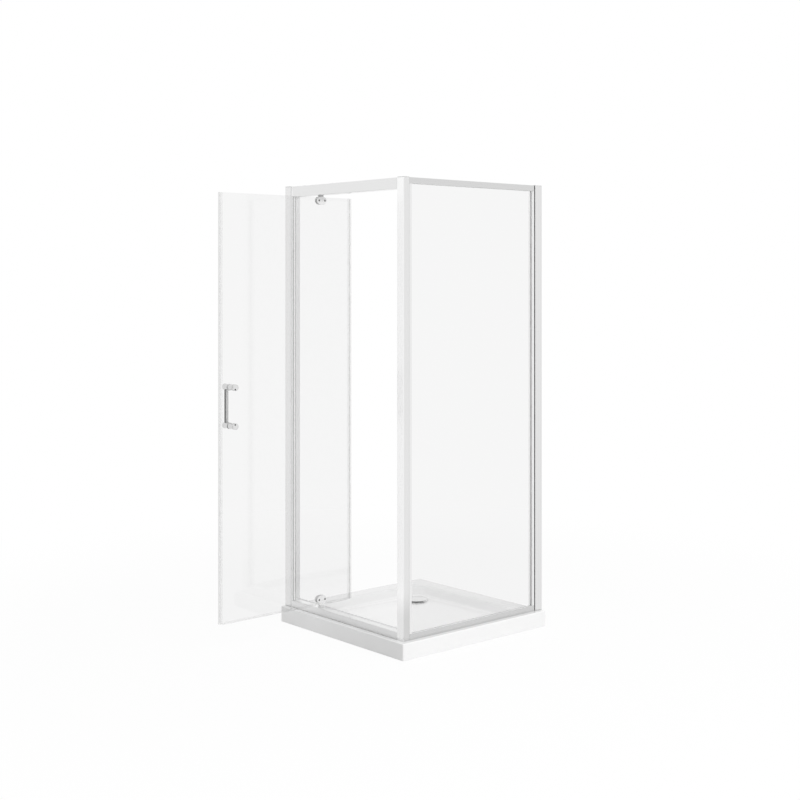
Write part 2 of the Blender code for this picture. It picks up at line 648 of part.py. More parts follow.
def make_door_frame(aluminium, seal):
    start_x = WALL_X + EXPANDER_END_FRONT + SEAT
    end_x = SIDE_X - POST_WIDTH - SEAT
    low = FRAME_HEIGHT - HEAD_RAIL_HEIGHT
    rail = rounded_rectangle(0, low, FRAME_DEPTH, FRAME_HEIGHT, HEAD_RAIL_RADIUS, EDGE_STEPS)
    head_rail = prism("head_rail_front",
                      [front_section(rail), front_section(chamber(0, low, FRAME_DEPTH, FRAME_HEIGHT))],
                      "YZ", start_x, end_x, aluminium, (start_x, FRONT_Y, HEAD_BOTTOM_Z))
    sill = make_sill(start_x, end_x, aluminium)

    jamb_start = EXPANDER_END_FRONT + SEAT
    foot_end = jamb_start + HINGE_JAMB_WALL
    jamb_end = EXPANDER_END_FRONT + HINGE_JAMB_REACH
    jamb = [(jamb_start, HINGE_JAMB_SET_BACK - HINGE_JAMB_FOOT),
            (foot_end, HINGE_JAMB_SET_BACK - HINGE_JAMB_FOOT), (foot_end, HINGE_JAMB_SET_BACK),
            (jamb_end, HINGE_JAMB_SET_BACK), (jamb_end, HINGE_JAMB_BACK + HINGE_JAMB_LIP),
            (jamb_end - HINGE_JAMB_WALL, HINGE_JAMB_BACK + HINGE_JAMB_LIP),
            (jamb_end - HINGE_JAMB_WALL, HINGE_JAMB_BACK), (foot_end, HINGE_JAMB_BACK),
            (foot_end, HINGE_JAMB_BACK + HINGE_JAMB_LIP), (jamb_start, HINGE_JAMB_BACK + HINGE_JAMB_LIP)]
    jamb_z = SILL_TOP_Z + SEAT
    prism("hinge_jamb", [front_plan(jamb)], "XY", jamb_z, HEAD_BOTTOM_Z - SEAT, aluminium,
          (*front_plan([(jamb_start, 0)])[0], jamb_z))

    make_corner_post(aluminium, seal)
    return head_rail, sill


def make_sill(start_x, end_x, aluminium):
    """Threshold with a rounded nose outside and a low lip inside."""
    lip_start = FRAME_DEPTH - SILL_LIP_WIDTH
    nose = arc((SILL_NOSE, SILL_HEIGHT - SILL_NOSE), SILL_NOSE, 180, 90, SMALL_STEPS)
    outline = ([(0, 0)] + nose
               + [(lip_start, SILL_HEIGHT), (lip_start + SILL_LIP_HEIGHT / 2, SILL_HEIGHT + SILL_LIP_HEIGHT),
                  (FRAME_DEPTH, SILL_HEIGHT + SILL_LIP_HEIGHT), (FRAME_DEPTH, 0)])
    hollow_nose = arc((SILL_NOSE, SILL_HEIGHT - SILL_NOSE), SILL_NOSE - PROFILE_WALL, 180, 90, SMALL_STEPS)
    hollow = ([(PROFILE_WALL, PROFILE_WALL)] + hollow_nose
              + [(FRAME_DEPTH - PROFILE_WALL, SILL_HEIGHT - PROFILE_WALL),
                 (FRAME_DEPTH - PROFILE_WALL, PROFILE_WALL)])
    return prism("door_sill", [front_section(outline), front_section(hollow)], "YZ",
                 start_x, end_x, aluminium, (start_x, FRONT_Y, BASE_Z))


def make_corner_post(aluminium, seal):
    """L-shaped post whose leg runs behind the fixed side's first upright."""
    leg = SIDE_FRAME_DEPTH + SEAT
    arris = arc((-POST_RADIUS, POST_RADIUS), POST_RADIUS, -90, 0, SMALL_STEPS)
    outline = ([(-POST_WIDTH, 0)] + arris
               + [(0, POST_FACE), (-leg, POST_FACE), (-leg, FRAME_DEPTH), (-POST_WIDTH, FRAME_DEPTH)])
    wall = PROFILE_WALL
    hollow = [(-POST_WIDTH + wall, wall), (-wall, wall), (-wall, POST_FACE - wall),
              (-leg - wall, POST_FACE - wall), (-leg - wall, FRAME_DEPTH - wall),
              (-POST_WIDTH + wall, FRAME_DEPTH - wall)]
    loops = [[(SIDE_X + across, FRONT_Y + depth) for across, depth in loop]
             for loop in (outline, hollow)]
    origin = (SIDE_X, FRONT_Y, BASE_Z)
    prism("corner_post", loops, "XY", BASE_Z, TOP_Z, aluminium, origin)
    cap_z = TOP_Z + SEAT
    prism("post_cap", loops[:1], "XY", cap_z, cap_z + CAP_THICKNESS, seal, (SIDE_X, FRONT_Y, cap_z))

    strip_end = SIDE_X - POST_WIDTH - SEAT
    half = STRIKE_STRIP_WIDTH / 2
    strip = rounded_rectangle(strip_end - STRIKE_STRIP_THICKNESS, PIVOT_Y - half, strip_end,
                              PIVOT_Y + half, PROFILE_RADIUS, EDGE_STEPS)
    strip_z = SILL_TOP_Z + SILL_LIP_HEIGHT + SEAT
    prism("strike_magnet_strip", [strip], "XY", strip_z, HEAD_BOTTOM_Z - SEAT, seal,
          (strip_end, PIVOT_Y, strip_z))


# Fixed side

def glazed_outline(width, depth):
    """Upright or rail with a glazing groove in the face at the given width."""
    middle = depth / 2
    half = GLASS / 2 + 2 * SEAT + GASKET
    floor = width - GLAZING_DEPTH
    return [(0, 0), (width, 0), (width, middle - half), (floor, middle - half),
            (floor, middle + half), (width, middle + half), (width, depth), (0, depth)]


def make_fixed_side(aluminium, glass, rubber):
    start = FRAME_SIDE - POST_FACE - SEAT
    end = EXPANDER_END_SIDE + SEAT
    jamb_z = BASE_Z + SIDE_RAIL_HEIGHT + SEAT
    jamb_top = TOP_Z - SIDE_RAIL_HEIGHT - SEAT
    section = glazed_outline(SIDE_JAMB_WIDTH, SIDE_FRAME_DEPTH)
    post_loop = side_plan([(start - a, depth) for a, depth in section])
    wall_loop = side_plan([(end + a, depth) for a, depth in section])
    prism("side_jamb_post", [post_loop], "XY", jamb_z, jamb_top, aluminium,
          (*side_plan([(start, 0)])[0], jamb_z))
    prism("side_jamb_wall", [wall_loop], "XY", jamb_z, jamb_top, aluminium,
          (*side_plan([(end, 0)])[0], jamb_z))

    loops = (glazed_outline(SIDE_RAIL_HEIGHT, SIDE_FRAME_DEPTH),
             chamber(0, 0, SIDE_RAIL_HEIGHT - GLAZING_DEPTH, SIDE_FRAME_DEPTH))
    sill_loops = [side_section([(depth, h) for h, depth in loop]) for loop in loops]
    head_loops = [side_section([(depth, FRAME_HEIGHT - h) for h, depth in loop]) for loop in loops]
    start_y = WALL_Y - start
    end_y = WALL_Y - end
    prism("side_sill_rail", sill_loops, "XZ", start_y, end_y, aluminium, (SIDE_X, start_y, BASE_Z))
    prism("side_head_rail", head_loops, "XZ", start_y, end_y, aluminium,
          (SIDE_X, start_y, TOP_Z - SIDE_RAIL_HEIGHT))

    tuck = GLAZING_DEPTH - SEAT
    low_y = start_y + SIDE_JAMB_WIDTH
    high_y = end_y - SIDE_JAMB_WIDTH
    low_z = BASE_Z + SIDE_RAIL_HEIGHT
    high_z = TOP_Z - SIDE_RAIL_HEIGHT
    pane = rectangle(low_y - tuck, low_z - tuck, high_y + tuck, high_z + tuck)
    sight = rectangle(low_y + GASKET_LIP, low_z + GASKET_LIP, high_y - GASKET_LIP, high_z - GASKET_LIP)
    middle = SIDE_X - SIDE_FRAME_DEPTH / 2
    origin = (middle, low_y, low_z)
    prism("side_glass", [pane], "YZ", middle - GLASS / 2, middle + GLASS / 2, glass, origin)
    near = GLASS / 2 + SEAT
    prism("side_gasket_outer", [pane, sight], "YZ", middle + near, middle + near + GASKET, rubber, origin)
    prism("side_gasket_inner", [pane, sight], "YZ", middle - near - GASKET, middle - near, rubber, origin)


# Door

def seal_clip(edge, inner, nose, fin=0.0):
    """U profile over a glass edge: outer end, inner end of the arms, solid nose and end fin."""
    way = 1 if edge > inner else -1
    half = GLASS / 2 + SEAT
    outer = half + SEAL_ARM
    slot = edge - way * nose
    outline = [(inner, -outer)]
    if fin:
        root = edge - way * SEAL_FIN_THICKNESS
        outline += [(root, -outer), (root, -outer - fin), (edge, -outer - fin)]
    else:
        outline.append((edge, -outer))
    outline += [(edge, outer), (inner, outer), (inner, half), (slot, half), (slot, -half), (inner, -half)]
    return outline


def hinge_notch(edge_z, way, inset, overrun):
    """Round-cornered notch in the glass edge, from the trailing side to the leading side."""
    half = NOTCH_WIDTH / 2
    mouth = edge_z + way * overrun
    root = edge_z - way * (inset + NOTCH_BEYOND_SCREWS)
    centre_z = root + way * NOTCH_RADIUS
    left = arc((-half + NOTCH_RADIUS, centre_z), NOTCH_RADIUS, 180, 180 + way * 90, SMALL_STEPS)
    right = arc((half - NOTCH_RADIUS, centre_z), NOTCH_RADIUS, -way * 90, 0, SMALL_STEPS)
    return [(-half, mouth)] + left + right + [(half, mouth)]


def make_door_glass(door, glass):
    lead = DOOR_LEAD - LEAD_SEAL_NOSE - SEAT
    tail = -(DOOR_TAIL - TAIL_SEAL_NOSE - SEAT)
    bottom, top = DOOR_BOTTOM_Z, DOOR_TOP_Z
    step = DOOR_GLASS_CORNER
    notch_low = hinge_notch(bottom, -1, PLATE_INSET_BOTTOM, 0)
    notch_high = hinge_notch(top, 1, PLATE_INSET_TOP, 0)
    outline = ([(tail, bottom + step), (tail + step, bottom)] + notch_low
               + [(lead - step, bottom), (lead, bottom + step), (lead, top - step), (lead - step, top)]
               + notch_high[::-1] + [(tail + step, top), (tail, top - step)])
    holes = []
    for side in (-1, 1):
        z = BASE_Z + HANDLE_HEIGHT + side * HANDLE_CENTRES / 2
        holes.append(circle((HANDLE_X, z), HANDLE_HOLE_RADIUS, SMALL_SIDES))
    prism("door_glass", [outline] + holes, "XZ", -GLASS / 2, GLASS / 2, glass, parent=door)


def make_door_seals(door, seal):
    bottom, top = DOOR_BOTTOM_Z, DOOR_TOP_Z
    lead = seal_clip(DOOR_LEAD, DOOR_LEAD - LEAD_SEAL_WIDTH, LEAD_SEAL_NOSE)
    tail = seal_clip(-DOOR_TAIL, -DOOR_TAIL + TAIL_SEAL_WIDTH, TAIL_SEAL_NOSE, TAIL_SEAL_FIN)
    prism("door_leading_seal", [lead], "XY", bottom, top, seal, parent=door)
    prism("door_trailing_seal", [tail], "XY", bottom, top, seal, parent=door)

    half = GLASS / 2 + SEAT
    outer = half + SEAL_ARM
    arm_top = bottom + BOTTOM_SEAL_ARM_HEIGHT
    under = bottom - SEAT
    fin_end = SILL_TOP_Z + SILL_LIP_HEIGHT + BOTTOM_SEAL_LIP_GAP
    fin = SEAL_FIN_THICKNESS / 2
    outline = [(-outer, arm_top), (-outer, under - SEAL_ARM), (-fin, under - SEAL_ARM), (-fin, fin_end),
               (fin, fin_end), (fin, under - SEAL_ARM), (outer, under - SEAL_ARM), (outer, arm_top),
               (half, arm_top), (half, under), (-half, under), (-half, arm_top)]
    reach = PLATE_LENGTH / 2 + BOTTOM_SEAL_HINGE_GAP
    spans = {
        "door_bottom_seal_long": (reach, DOOR_LEAD - LEAD_SEAL_WIDTH - SEAT),
        "door_bottom_seal_short": (-DOOR_TAIL + TAIL_SEAL_WIDTH + SEAT, -reach),
    }
    for name, (start, end) in spans.items():
        prism(name, [outline], "YZ", start, end, seal, parent=door)


def bevel_rim(bm, depth, radius):
    """Round the outer rim of a plate's face that lies at the given depth."""
    rim = []
    for edge in bm.edges:
        on_face = all(abs(vert.co.y - depth) < MERGE_DISTANCE for vert in edge.verts)
        if on_face and len(edge.link_faces) == 2 and edge.calc_face_angle(0) > math.radians(60):
            rim.append(edge)
    bmesh.ops.bevel(bm, geom=rim, offset=radius, segments=EDGE_STEPS,
                    profile=ROUND_PROFILE, affect="EDGES", material=-1)


def make_hinge(door, tag, edge_z, way, inset, chrome, rubber, steel):
    """Clamp hinge in a notch of the glass; way is +1 at the door's top, -1 at its bottom."""
    z = edge_z - way * inset
    back = PLATE_START + PLATE_THICKNESS
    oval = stadium((0, z), PLATE_LENGTH, PLATE_HEIGHT, CORNER_STEPS)
    bm = prism_mesh([oval], "XZ", -back, -PLATE_START)
    bevel_rim(bm, -back, PLATE_EDGE_RADIUS)
    body = add_object(f"hinge_{tag}_body", bm, chrome, parent=door)

    half = BLOCK_WIDTH / 2
    block_end = edge_z - way * (inset + NOTCH_BEYOND_SCREWS - BLOCK_CLEARANCE)
    block = rectangle(-half, block_end, half, edge_z + way * BLOCK_REACH)
    sunk = PLATE_START + PLATE_THICKNESS / 2
    boolean(body, prism(f"block_{tag}", [block], "XZ", -sunk, PLATE_START - SEAT, chrome, parent=door),
            "UNION")
    if way > 0:
        tip = HEAD_BOTTOM_Z + PIVOT_PIN_REACH
        shoulder = HEAD_BOTTOM_Z - SEAT - BUSH_COLLAR_HEIGHT - SEAT
    else:
        tip = SILL_TOP_Z - PIVOT_PIN_REACH
        shoulder = SILL_TOP_Z + SEAT + BUSH_COLLAR_HEIGHT + SEAT
    turn = None if way > 0 else "-Z"
    axis = place(0, 0, edge_z, turn)
    reach = abs(tip - edge_z)
    neck = abs(shoulder - edge_z)
    pin = [(0, PIVOT_ROOT), (PIVOT_SHOULDER_RADIUS, PIVOT_ROOT), (PIVOT_SHOULDER_RADIUS, neck),
           (PIVOT_PIN_RADIUS, neck), (PIVOT_PIN_RADIUS, reach), (0, reach)]
    boolean(body, turned(f"pin_{tag}", pin, ROUND_SIDES, axis, chrome, parent=door), "UNION")

    bm = prism_mesh([oval], "XZ", PLATE_START, back)
    bevel_rim(bm, back, PLATE_EDGE_RADIUS)
    clamp = add_object(f"hinge_{tag}_clamp", bm, chrome, parent=door)
    pad_outline = stadium((0, z), PLATE_LENGTH - 2 * PAD_INSET, PLATE_HEIGHT - 2 * PAD_INSET, CORNER_STEPS)
    slot = hinge_notch(edge_z, way, inset, OVERRUN)
    for face, start in (("outer", -PAD_START - PAD_THICKNESS), ("inner", PAD_START)):
        pad = prism(f"hinge_{tag}_pad_{face}", [pad_outline], "XZ", start,
                    start + PAD_THICKNESS, rubber, parent=door)
        boolean(pad, prism(f"pad_notch_{tag}_{face}", [slot], "XZ", start - OVERRUN,
                           start + PAD_THICKNESS + OVERRUN, rubber, parent=door))
    make_hinge_screws(door, tag, z, body, clamp, steel)


def make_hinge_screws(door, tag, z, body, clamp, steel):
    """Countersunk socket screws through the clamp plate and the glass into the hinge body."""
    face = PLATE_START + PLATE_THICKNESS
    reach = face + PLATE_START + HINGE_SCREW_GRIP
    head = HINGE_SCREW_HEAD_HEIGHT
    profile = [(0, -HINGE_SCREW_SOCKET_DEPTH), (HINGE_SCREW_SOCKET_RADIUS, -HINGE_SCREW_SOCKET_DEPTH),
               (HINGE_SCREW_SOCKET_RADIUS, 0), (HINGE_SCREW_HEAD_RADIUS, 0),
               (HINGE_SCREW_HEAD_RADIUS, -head), (HINGE_SCREW_SHANK_RADIUS, -head),
               (HINGE_SCREW_SHANK_RADIUS, -reach), (0, -reach)]
    bore_head = HINGE_SCREW_HEAD_RADIUS + SEAT
    bore = HINGE_SCREW_SHANK_RADIUS + SEAT
    cutter = [(0, OVERRUN), (bore_head, OVERRUN), (bore_head, -head - SEAT), (bore, -head - SEAT),
              (bore, -reach - SEAT), (0, -reach - SEAT)]
    for number, side in enumerate((-1, 1), start=1):
        here = place(side * HINGE_SCREW_SPACING / 2, face, z, "+Y")
        turned(f"hinge_{tag}_screw_{number}", profile, SMALL_SIDES, here, steel, parent=door)
        hole = turned(f"hinge_hole_{tag}_{number}", cutter, SMALL_SIDES, here, steel, parent=door)
        boolean(clamp, hole)
        boolean(body, hole)


def make_bushes(head_rail, sill, nylon):
    """Flanged bushes in the head rail and the sill, which carry the door's pins."""
    bore = PIVOT_PIN_RADIUS + SEAT
    profile = [(bore, -BUSH_DEPTH), (BUSH_RADIUS, -BUSH_DEPTH), (BUSH_RADIUS, SEAT),
               (BUSH_COLLAR_RADIUS, SEAT), (BUSH_COLLAR_RADIUS, SEAT + BUSH_COLLAR_HEIGHT),
               (bore, SEAT + BUSH_COLLAR_HEIGHT)]
    seats = {
        "pivot_bush_top": (HEAD_BOTTOM_Z, "-Z", head_rail),
        "pivot_bush_bottom": (SILL_TOP_Z, None, sill),
    }
    for name, (z, turn, rail) in seats.items():
        here = place(PIVOT_X, PIVOT_Y, z, turn)
        turned(name, profile, ROUND_SIDES, here, nylon, (PIVOT_X, PIVOT_Y, z), closed=True)
        hole = cylinder(f"{name}_hole", BUSH_RADIUS + SEAT, -PROFILE_WALL - OVERRUN, OVERRUN,
                        ROUND_SIDES, here, nylon)
        boolean(rail, hole)


def make_handle(door, chrome, nylon):
    z_middle = BASE_Z + HANDLE_HEIGHT
    low = z_middle - HANDLE_CENTRES / 2
    high = z_middle + HANDLE_CENTRES / 2
    half_width = HANDLE_BAR_WIDTH / 2
    half_depth = HANDLE_BAR_DEPTH / 2
    bar = rounded_rectangle(HANDLE_X - half_width, -HANDLE_BAR_OFFSET - half_depth,
                            HANDLE_X + half_width, -HANDLE_BAR_OFFSET + half_depth,
                            HANDLE_BAR_RADIUS, EDGE_STEPS)
    grip = prism("handle_grip", [bar], "XY", low - HANDLE_BAR_TUCK, high + HANDLE_BAR_TUCK, chrome,
                 parent=door)

    face = GLASS / 2 + SEAT + SLEEVE_FLANGE + SEAT
    end = face + HANDLE_POST_LENGTH
    edge = HANDLE_POST_EDGE
    stud_end = face + STUD_GRIP
    bore = STUD_RADIUS + SEAT
    post = [(0, stud_end + SEAT), (bore, stud_end + SEAT), (bore, face), (HANDLE_POST_RADIUS, face),
            (HANDLE_POST_WAIST, (face + end) / 2), (HANDLE_POST_RADIUS, end - edge),
            (HANDLE_POST_RADIUS - edge, end), (0, end)]
    inner_face = GLASS / 2 + SEAT
    groove = KNOB_LENGTH - KNOB_GROOVE_FROM_END
    knob = [(0, -stud_end), (STUD_RADIUS, -stud_end), (STUD_RADIUS, inner_face),
            (HANDLE_POST_RADIUS, inner_face), (HANDLE_POST_WAIST, inner_face + groove / 2),
            (HANDLE_POST_RADIUS, inner_face + groove),
            (HANDLE_POST_RADIUS - KNOB_GROOVE, inner_face + groove),
            (HANDLE_POST_RADIUS - KNOB_GROOVE, inner_face + groove + KNOB_GROOVE),
            (HANDLE_POST_RADIUS, inner_face + groove + KNOB_GROOVE),
            (HANDLE_POST_RADIUS, inner_face + KNOB_LENGTH - KNOB_DOME),
            (HANDLE_POST_RADIUS - KNOB_DOME, inner_face + KNOB_LENGTH), (0, inner_face + KNOB_LENGTH)]
    flange = GLASS / 2 + SEAT
    sleeve = [(bore, -GLASS / 2), (SLEEVE_RADIUS, -GLASS / 2), (SLEEVE_RADIUS, flange),
              (HANDLE_POST_RADIUS, flange), (HANDLE_POST_RADIUS, flange + SLEEVE_FLANGE),
              (bore, flange + SLEEVE_FLANGE)]
    for tag, z in (("bottom", low), ("top", high)):
        outward = place(HANDLE_X, 0, z, "-Y")
        inward = place(HANDLE_X, 0, z, "+Y")
        arm = turned(f"handle_arm_{tag}", post, ROUND_SIDES, outward, chrome, parent=door)
        boolean(grip, arm, "UNION")
        turned(f"handle_knob_{tag}", knob, ROUND_SIDES, inward, chrome, parent=door)
        turned(f"handle_sleeve_{tag}", sleeve, ROUND_SIDES, outward, nylon, parent=door, closed=True)


def make_door(chrome, glass, seal, rubber, steel, nylon):
    door = bpy.data.objects.new("door_pivot_axis", None)
    door.location = (PIVOT_X, PIVOT_Y, 0)
    door.rotation_euler = (0, 0, -DOOR_OPEN_ANGLE)
    bpy.context.scene.collection.objects.link(door)
    make_door_glass(door, glass)
    make_door_seals(door, seal)
    make_hinge(door, "top", DOOR_TOP_Z, 1, PLATE_INSET_TOP, chrome, rubber, steel)
    make_hinge(door, "bottom", DOOR_BOTTOM_Z, -1, PLATE_INSET_BOTTOM, chrome, rubber, steel)
    make_handle(door, chrome, nylon)


def main():
    clear_scene()
    acrylic = make_material("white_acrylic", (0.86, 0.86, 0.86), 0.18)
    board = make_material("chipboard", (0.55, 0.42, 0.28), 0.85)
    plastic = make_material("white_plastic", (0.75, 0.75, 0.75), 0.45)
    aluminium = make_material("bright_aluminium", (0.82, 0.82, 0.82), 0.22, metallic=1.0)
    chrome = make_material("polished_chrome", (0.72, 0.72, 0.72), 0.06, metallic=1.0)
    steel = make_material("stainless_screw", (0.45, 0.45, 0.45), 0.3, metallic=1.0)
    glass = make_material("clear_glass", (0.93, 0.93, 0.93), 0.02, alpha=0.25)
    seal = make_material("clear_seal", (0.85, 0.85, 0.85), 0.3, alpha=0.6)
    rubber = make_material("grey_rubber", (0.45, 0.45, 0.45), 0.7)
    nylon = make_material("grey_nylon", (0.6, 0.6, 0.6), 0.5)

    make_tray(acrylic)
    make_tray_base(board, plastic)
    make_waste(chrome, rubber, plastic)
    make_wall_profiles(aluminium, plastic, steel)
    head_rail, sill = make_door_frame(aluminium, seal)
    make_bushes(head_rail, sill, nylon)
    make_fixed_side(aluminium, glass, rubber)
    make_door(chrome, glass, seal, rubber, steel, nylon)


main()
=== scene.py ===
"""Looks of a square shower enclosure: finishes, small fittings, light and camera."""

import math

import bmesh
import bpy
from mathutils import Matrix, Vector


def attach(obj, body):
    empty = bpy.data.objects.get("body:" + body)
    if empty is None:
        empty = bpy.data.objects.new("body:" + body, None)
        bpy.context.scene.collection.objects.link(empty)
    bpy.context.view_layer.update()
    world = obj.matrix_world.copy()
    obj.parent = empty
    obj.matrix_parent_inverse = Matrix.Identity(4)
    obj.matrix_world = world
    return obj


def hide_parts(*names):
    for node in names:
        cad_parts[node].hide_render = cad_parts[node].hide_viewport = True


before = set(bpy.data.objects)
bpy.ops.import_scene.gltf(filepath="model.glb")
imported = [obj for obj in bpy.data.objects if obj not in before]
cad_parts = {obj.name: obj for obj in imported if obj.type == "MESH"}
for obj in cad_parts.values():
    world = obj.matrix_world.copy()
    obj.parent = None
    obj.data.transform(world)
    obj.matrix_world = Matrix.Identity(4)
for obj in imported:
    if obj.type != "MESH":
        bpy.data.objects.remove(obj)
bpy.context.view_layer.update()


# Shader sums are written as Python sums on sockets

class Value:
    """A socket with Python's operators, each of which adds its Math node."""

    def __init__(self, nodes, socket):
        self.nodes = nodes
        self.socket = socket

    def math(self, operation, *others):
        return self.nodes.node("ShaderNodeMath", {"operation": operation}, self, *others)

    def __add__(self, other):
        return self.math("ADD", other)

    def __sub__(self, other):
        return self.math("SUBTRACT", other)

    def __mul__(self, other):
        return self.math("MULTIPLY", other)

    def __pow__(self, other):
        return self.math("POWER", other)

    def __rsub__(self, other):
        return self.nodes.node("ShaderNodeMath", {"operation": "SUBTRACT"}, other, self)

    __radd__ = __add__
    __rmul__ = __mul__

    def size(self):
        return self.math("ABSOLUTE")

    def limited(self):
        return self.nodes.node("ShaderNodeClamp", {}, self)

    def between(self, low, high):
        """0 below low, 1 above high and smooth in between."""
        return self.nodes.node(
            "ShaderNodeMapRange", {"interpolation_type": "SMOOTHSTEP"}, self, low, high, 0.0, 1.0)


class Nodes:
    """A node tree, its one way to add a node, and the patterns that the finishes share."""

    def __init__(self, tree):
        self.tree = tree

    def join(self, socket, value):
        if isinstance(value, Value):
            self.tree.links.new(value.socket, socket)
        elif value is not None:
            socket.default_value = value

    def node(self, kind, settings=None, *values, output=0, **named):
        """Add a node: settings first, then its inputs in order or by name."""
        made = self.tree.nodes.new(kind)
        for name, value in (settings or {}).items():
            setattr(made, name, value)
        for socket, value in zip(made.inputs, values):
            self.join(socket, value)
        for name, value in named.items():
            self.join(made.inputs[name.replace("_", " ")], value)
        return Value(self, made.outputs[output])

    def ray(self, kind):
        return self.node("ShaderNodeLightPath", output=f"Is {kind} Ray")

    def point(self):
        return self.node("ShaderNodeTexCoord", output="Object")

    def along(self, axis):
        """A point's place on one axis, in metres."""
        return self.node("ShaderNodeSeparateXYZ", {}, self.point(), output=axis)

    def facing(self, axis):
        """How far a face looks along one axis, from 0 to 1, whichever way."""
        normals = self.node("ShaderNodeTexCoord", output="Normal")
        return self.node("ShaderNodeSeparateXYZ", {}, normals, output=axis).size()

    def painted_light_by_facing(self, levels):
        """Painted light and shade by facing along X, Y and Z, blended on tilted faces."""
        x, y, z = (self.facing(axis) ** 2.0 * level for axis, level in zip("XYZ", levels))
        return x + y + z

    def noise(self, scale, detail, stretch=(1, 1, 1)):
        place = self.node("ShaderNodeMapping", {}, Vector=self.point(), Scale=stretch)
        return self.node("ShaderNodeTexNoise", {}, Vector=place, Scale=scale, Detail=detail)

    def shade(self, amount, dark, light):
        """A colour between two colours."""
        return self.node("ShaderNodeMixRGB", {}, amount, (*dark, 1.0), (*light, 1.0))


class Finish(Nodes):
    """One material on the plain shader."""

    def __init__(self, name, colour, roughness, metallic=0.0, **sockets):
        self.material = bpy.data.materials.new(name)
        self.material.use_nodes = True
        super().__init__(self.material.node_tree)
        self.shader = self.tree.nodes["Principled BSDF"]
        self.set(Base_Color=(*colour, 1.0), Roughness=roughness, Metallic=metallic, **sockets)

    def set(self, **sockets):
        for name, value in sockets.items():
            self.join(self.shader.inputs[name.replace("_", " ")], value)

    def bump(self, height, strength, distance):
        self.set(Normal=self.node("ShaderNodeBump", {}, Strength=strength, Distance=distance,
                                  Height=height))

    def mix_surface(self, share, first, second):
        whole = self.node("ShaderNodeMixShader", {}, share, first, second)
        self.tree.links.new(whole.socket, self.tree.nodes["Material Output"].inputs["Surface"])

    def plain(self):
        return Value(self, self.shader.outputs[0])


def grey(level):
    return (level, level, level)


# Finishes that several pieces share

METAL = 1.0
DIE_LINE_STRETCH = 0.02
CLOUD_STRETCH = 0.12
CHROME_ROUGHNESS = 0.05
PANE_TINT = 0.961
PANE_MIRROR = 0.035
PANE_GRAZING_MIRROR = 0.9
PANE_EDGE_GREY = 0.14
PANE_EDGE_BLEND = (0.5, 0.9)
PANE_FILM = 0.006
SEAL_END_BLEND = (0.3, 0.9)


def stretched(length_axis, scale):
    """Scale of a pattern that is drawn out along one axis."""
    return tuple(scale if axis == length_axis else 1.0 for axis in "XYZ")


def extrusion_finish(name, levels, length_axis, roughness, painted_shading):
    """Bright anodised aluminium with die lines along the profile.

    The levels are painted light and shade for the faces that look along X, Y and Z. Each stretch
    of painted shading is a share, an axis, a start and an end. Before the start the colour is
    darker by the share, as painted shade, or lighter where the share is below 0, as painted light,
    and past the end it is as its levels say.
    """
    made = Finish(name, grey(levels[0]), roughness, METAL)
    die_lines = made.noise(900.0, 2.0, stretched(length_axis, DIE_LINE_STRETCH))
    clouds = made.noise(9.0, 3.0, stretched(length_axis, CLOUD_STRETCH))
    # Painted light and shade by facing, varied by random clouds and die lines
    level = made.painted_light_by_facing(levels) * (0.955 + 0.06 * clouds + 0.03 * die_lines)
    # Painted shade along each stretch, and painted light where its share is below 0
    for share, axis, start, end in painted_shading:
        level = level * (1.0 - share + share * made.along(axis).between(start, end))
    made.set(Base_Color=level, Roughness=roughness - 0.04 + 0.08 * die_lines)
    made.bump(die_lines, strength=0.04, distance=0.0002)
    return made.material


def chrome_finish(name, levels):
    """Bright plating with a faint haze of handling, and painted light and shade by facing."""
    made = Finish(name, grey(levels[0]), CHROME_ROUGHNESS, METAL)
    haze = made.noise(120.0, 4.0)
    smears = made.noise(30.0, 3.0)
    made.set(Base_Color=made.painted_light_by_facing(levels) * (0.95 + 0.09 * smears),
             Roughness=CHROME_ROUGHNESS + 0.05 * haze)
    return made.material


def steel_finish(name, level):
    """Turned stainless steel."""
    made = Finish(name, grey(level), 0.3, METAL)
    grain = made.noise(2500.0, 2.0)
    made.set(Base_Color=made.shade(grain, grey(level * 0.8), grey(level * 1.15)),
             Roughness=0.24 + 0.14 * grain)
    return made.material


def glass_finish():
    """Clear toughened glass: faces that mirror a little, and ground edges that show grey."""
    made = Finish("pane", grey(0.97), 0.02, METAL)
    through = made.node("ShaderNodeBsdfTransparent", {}, (*grey(PANE_TINT), 1.0))
    tilt = made.node("ShaderNodeLayerWeight", {}, 0.5, output="Facing")
    film = made.noise(2.2, 2.0, (1.0, 1.0, 0.35))
    made.set(Base_Color=made.shade(film, grey(0.93), grey(0.99)))
    edge = (1.0 - made.facing("X")).between(*PANE_EDGE_BLEND)
    share = (PANE_MIRROR + PANE_GRAZING_MIRROR * tilt ** 5.0 + PANE_EDGE_GREY * edge
             + PANE_FILM * film)
    made.mix_surface(share.limited(), through, made.plain())
    return made.material


def seal_finish(name, sides, ends, ends_axis):
    """Clear soft extrusion, which shows most where it is seen end on."""
    made = Finish(name, grey(0.70), 0.28)
    cloud = made.noise(60.0, 2.0, (1.0, 1.0, 0.05))
    edge = made.facing(ends_axis).between(*SEAL_END_BLEND)
    made.set(Base_Color=made.shade(cloud, grey(0.62), grey(0.74)),
             Alpha=sides + 0.04 * cloud + (ends - sides) * edge)
    return made.material


def rubber_finish():
    """Pale grey rubber with a fine matt grain."""
    made = Finish("glazing rubber", grey(0.88), 0.6)
    grain = made.noise(1800.0, 3.0)
    made.set(Base_Color=made.shade(grain, grey(0.85), grey(0.92)), Roughness=0.55 + 0.15 * grain)
    made.bump(grain, strength=0.1, distance=0.0002)
    return made.material


def moulded_finish(name, level):
    """Moulded plastic with a fine spark grain."""
    made = Finish(name, grey(level), 0.42)
    grain = made.noise(1500.0, 3.0)
    made.set(Base_Color=made.shade(grain, grey(level - 0.03), grey(level + 0.03)),
             Roughness=0.36 + 0.14 * grain)
    made.bump(grain, strength=0.08, distance=0.0002)
    return made.material


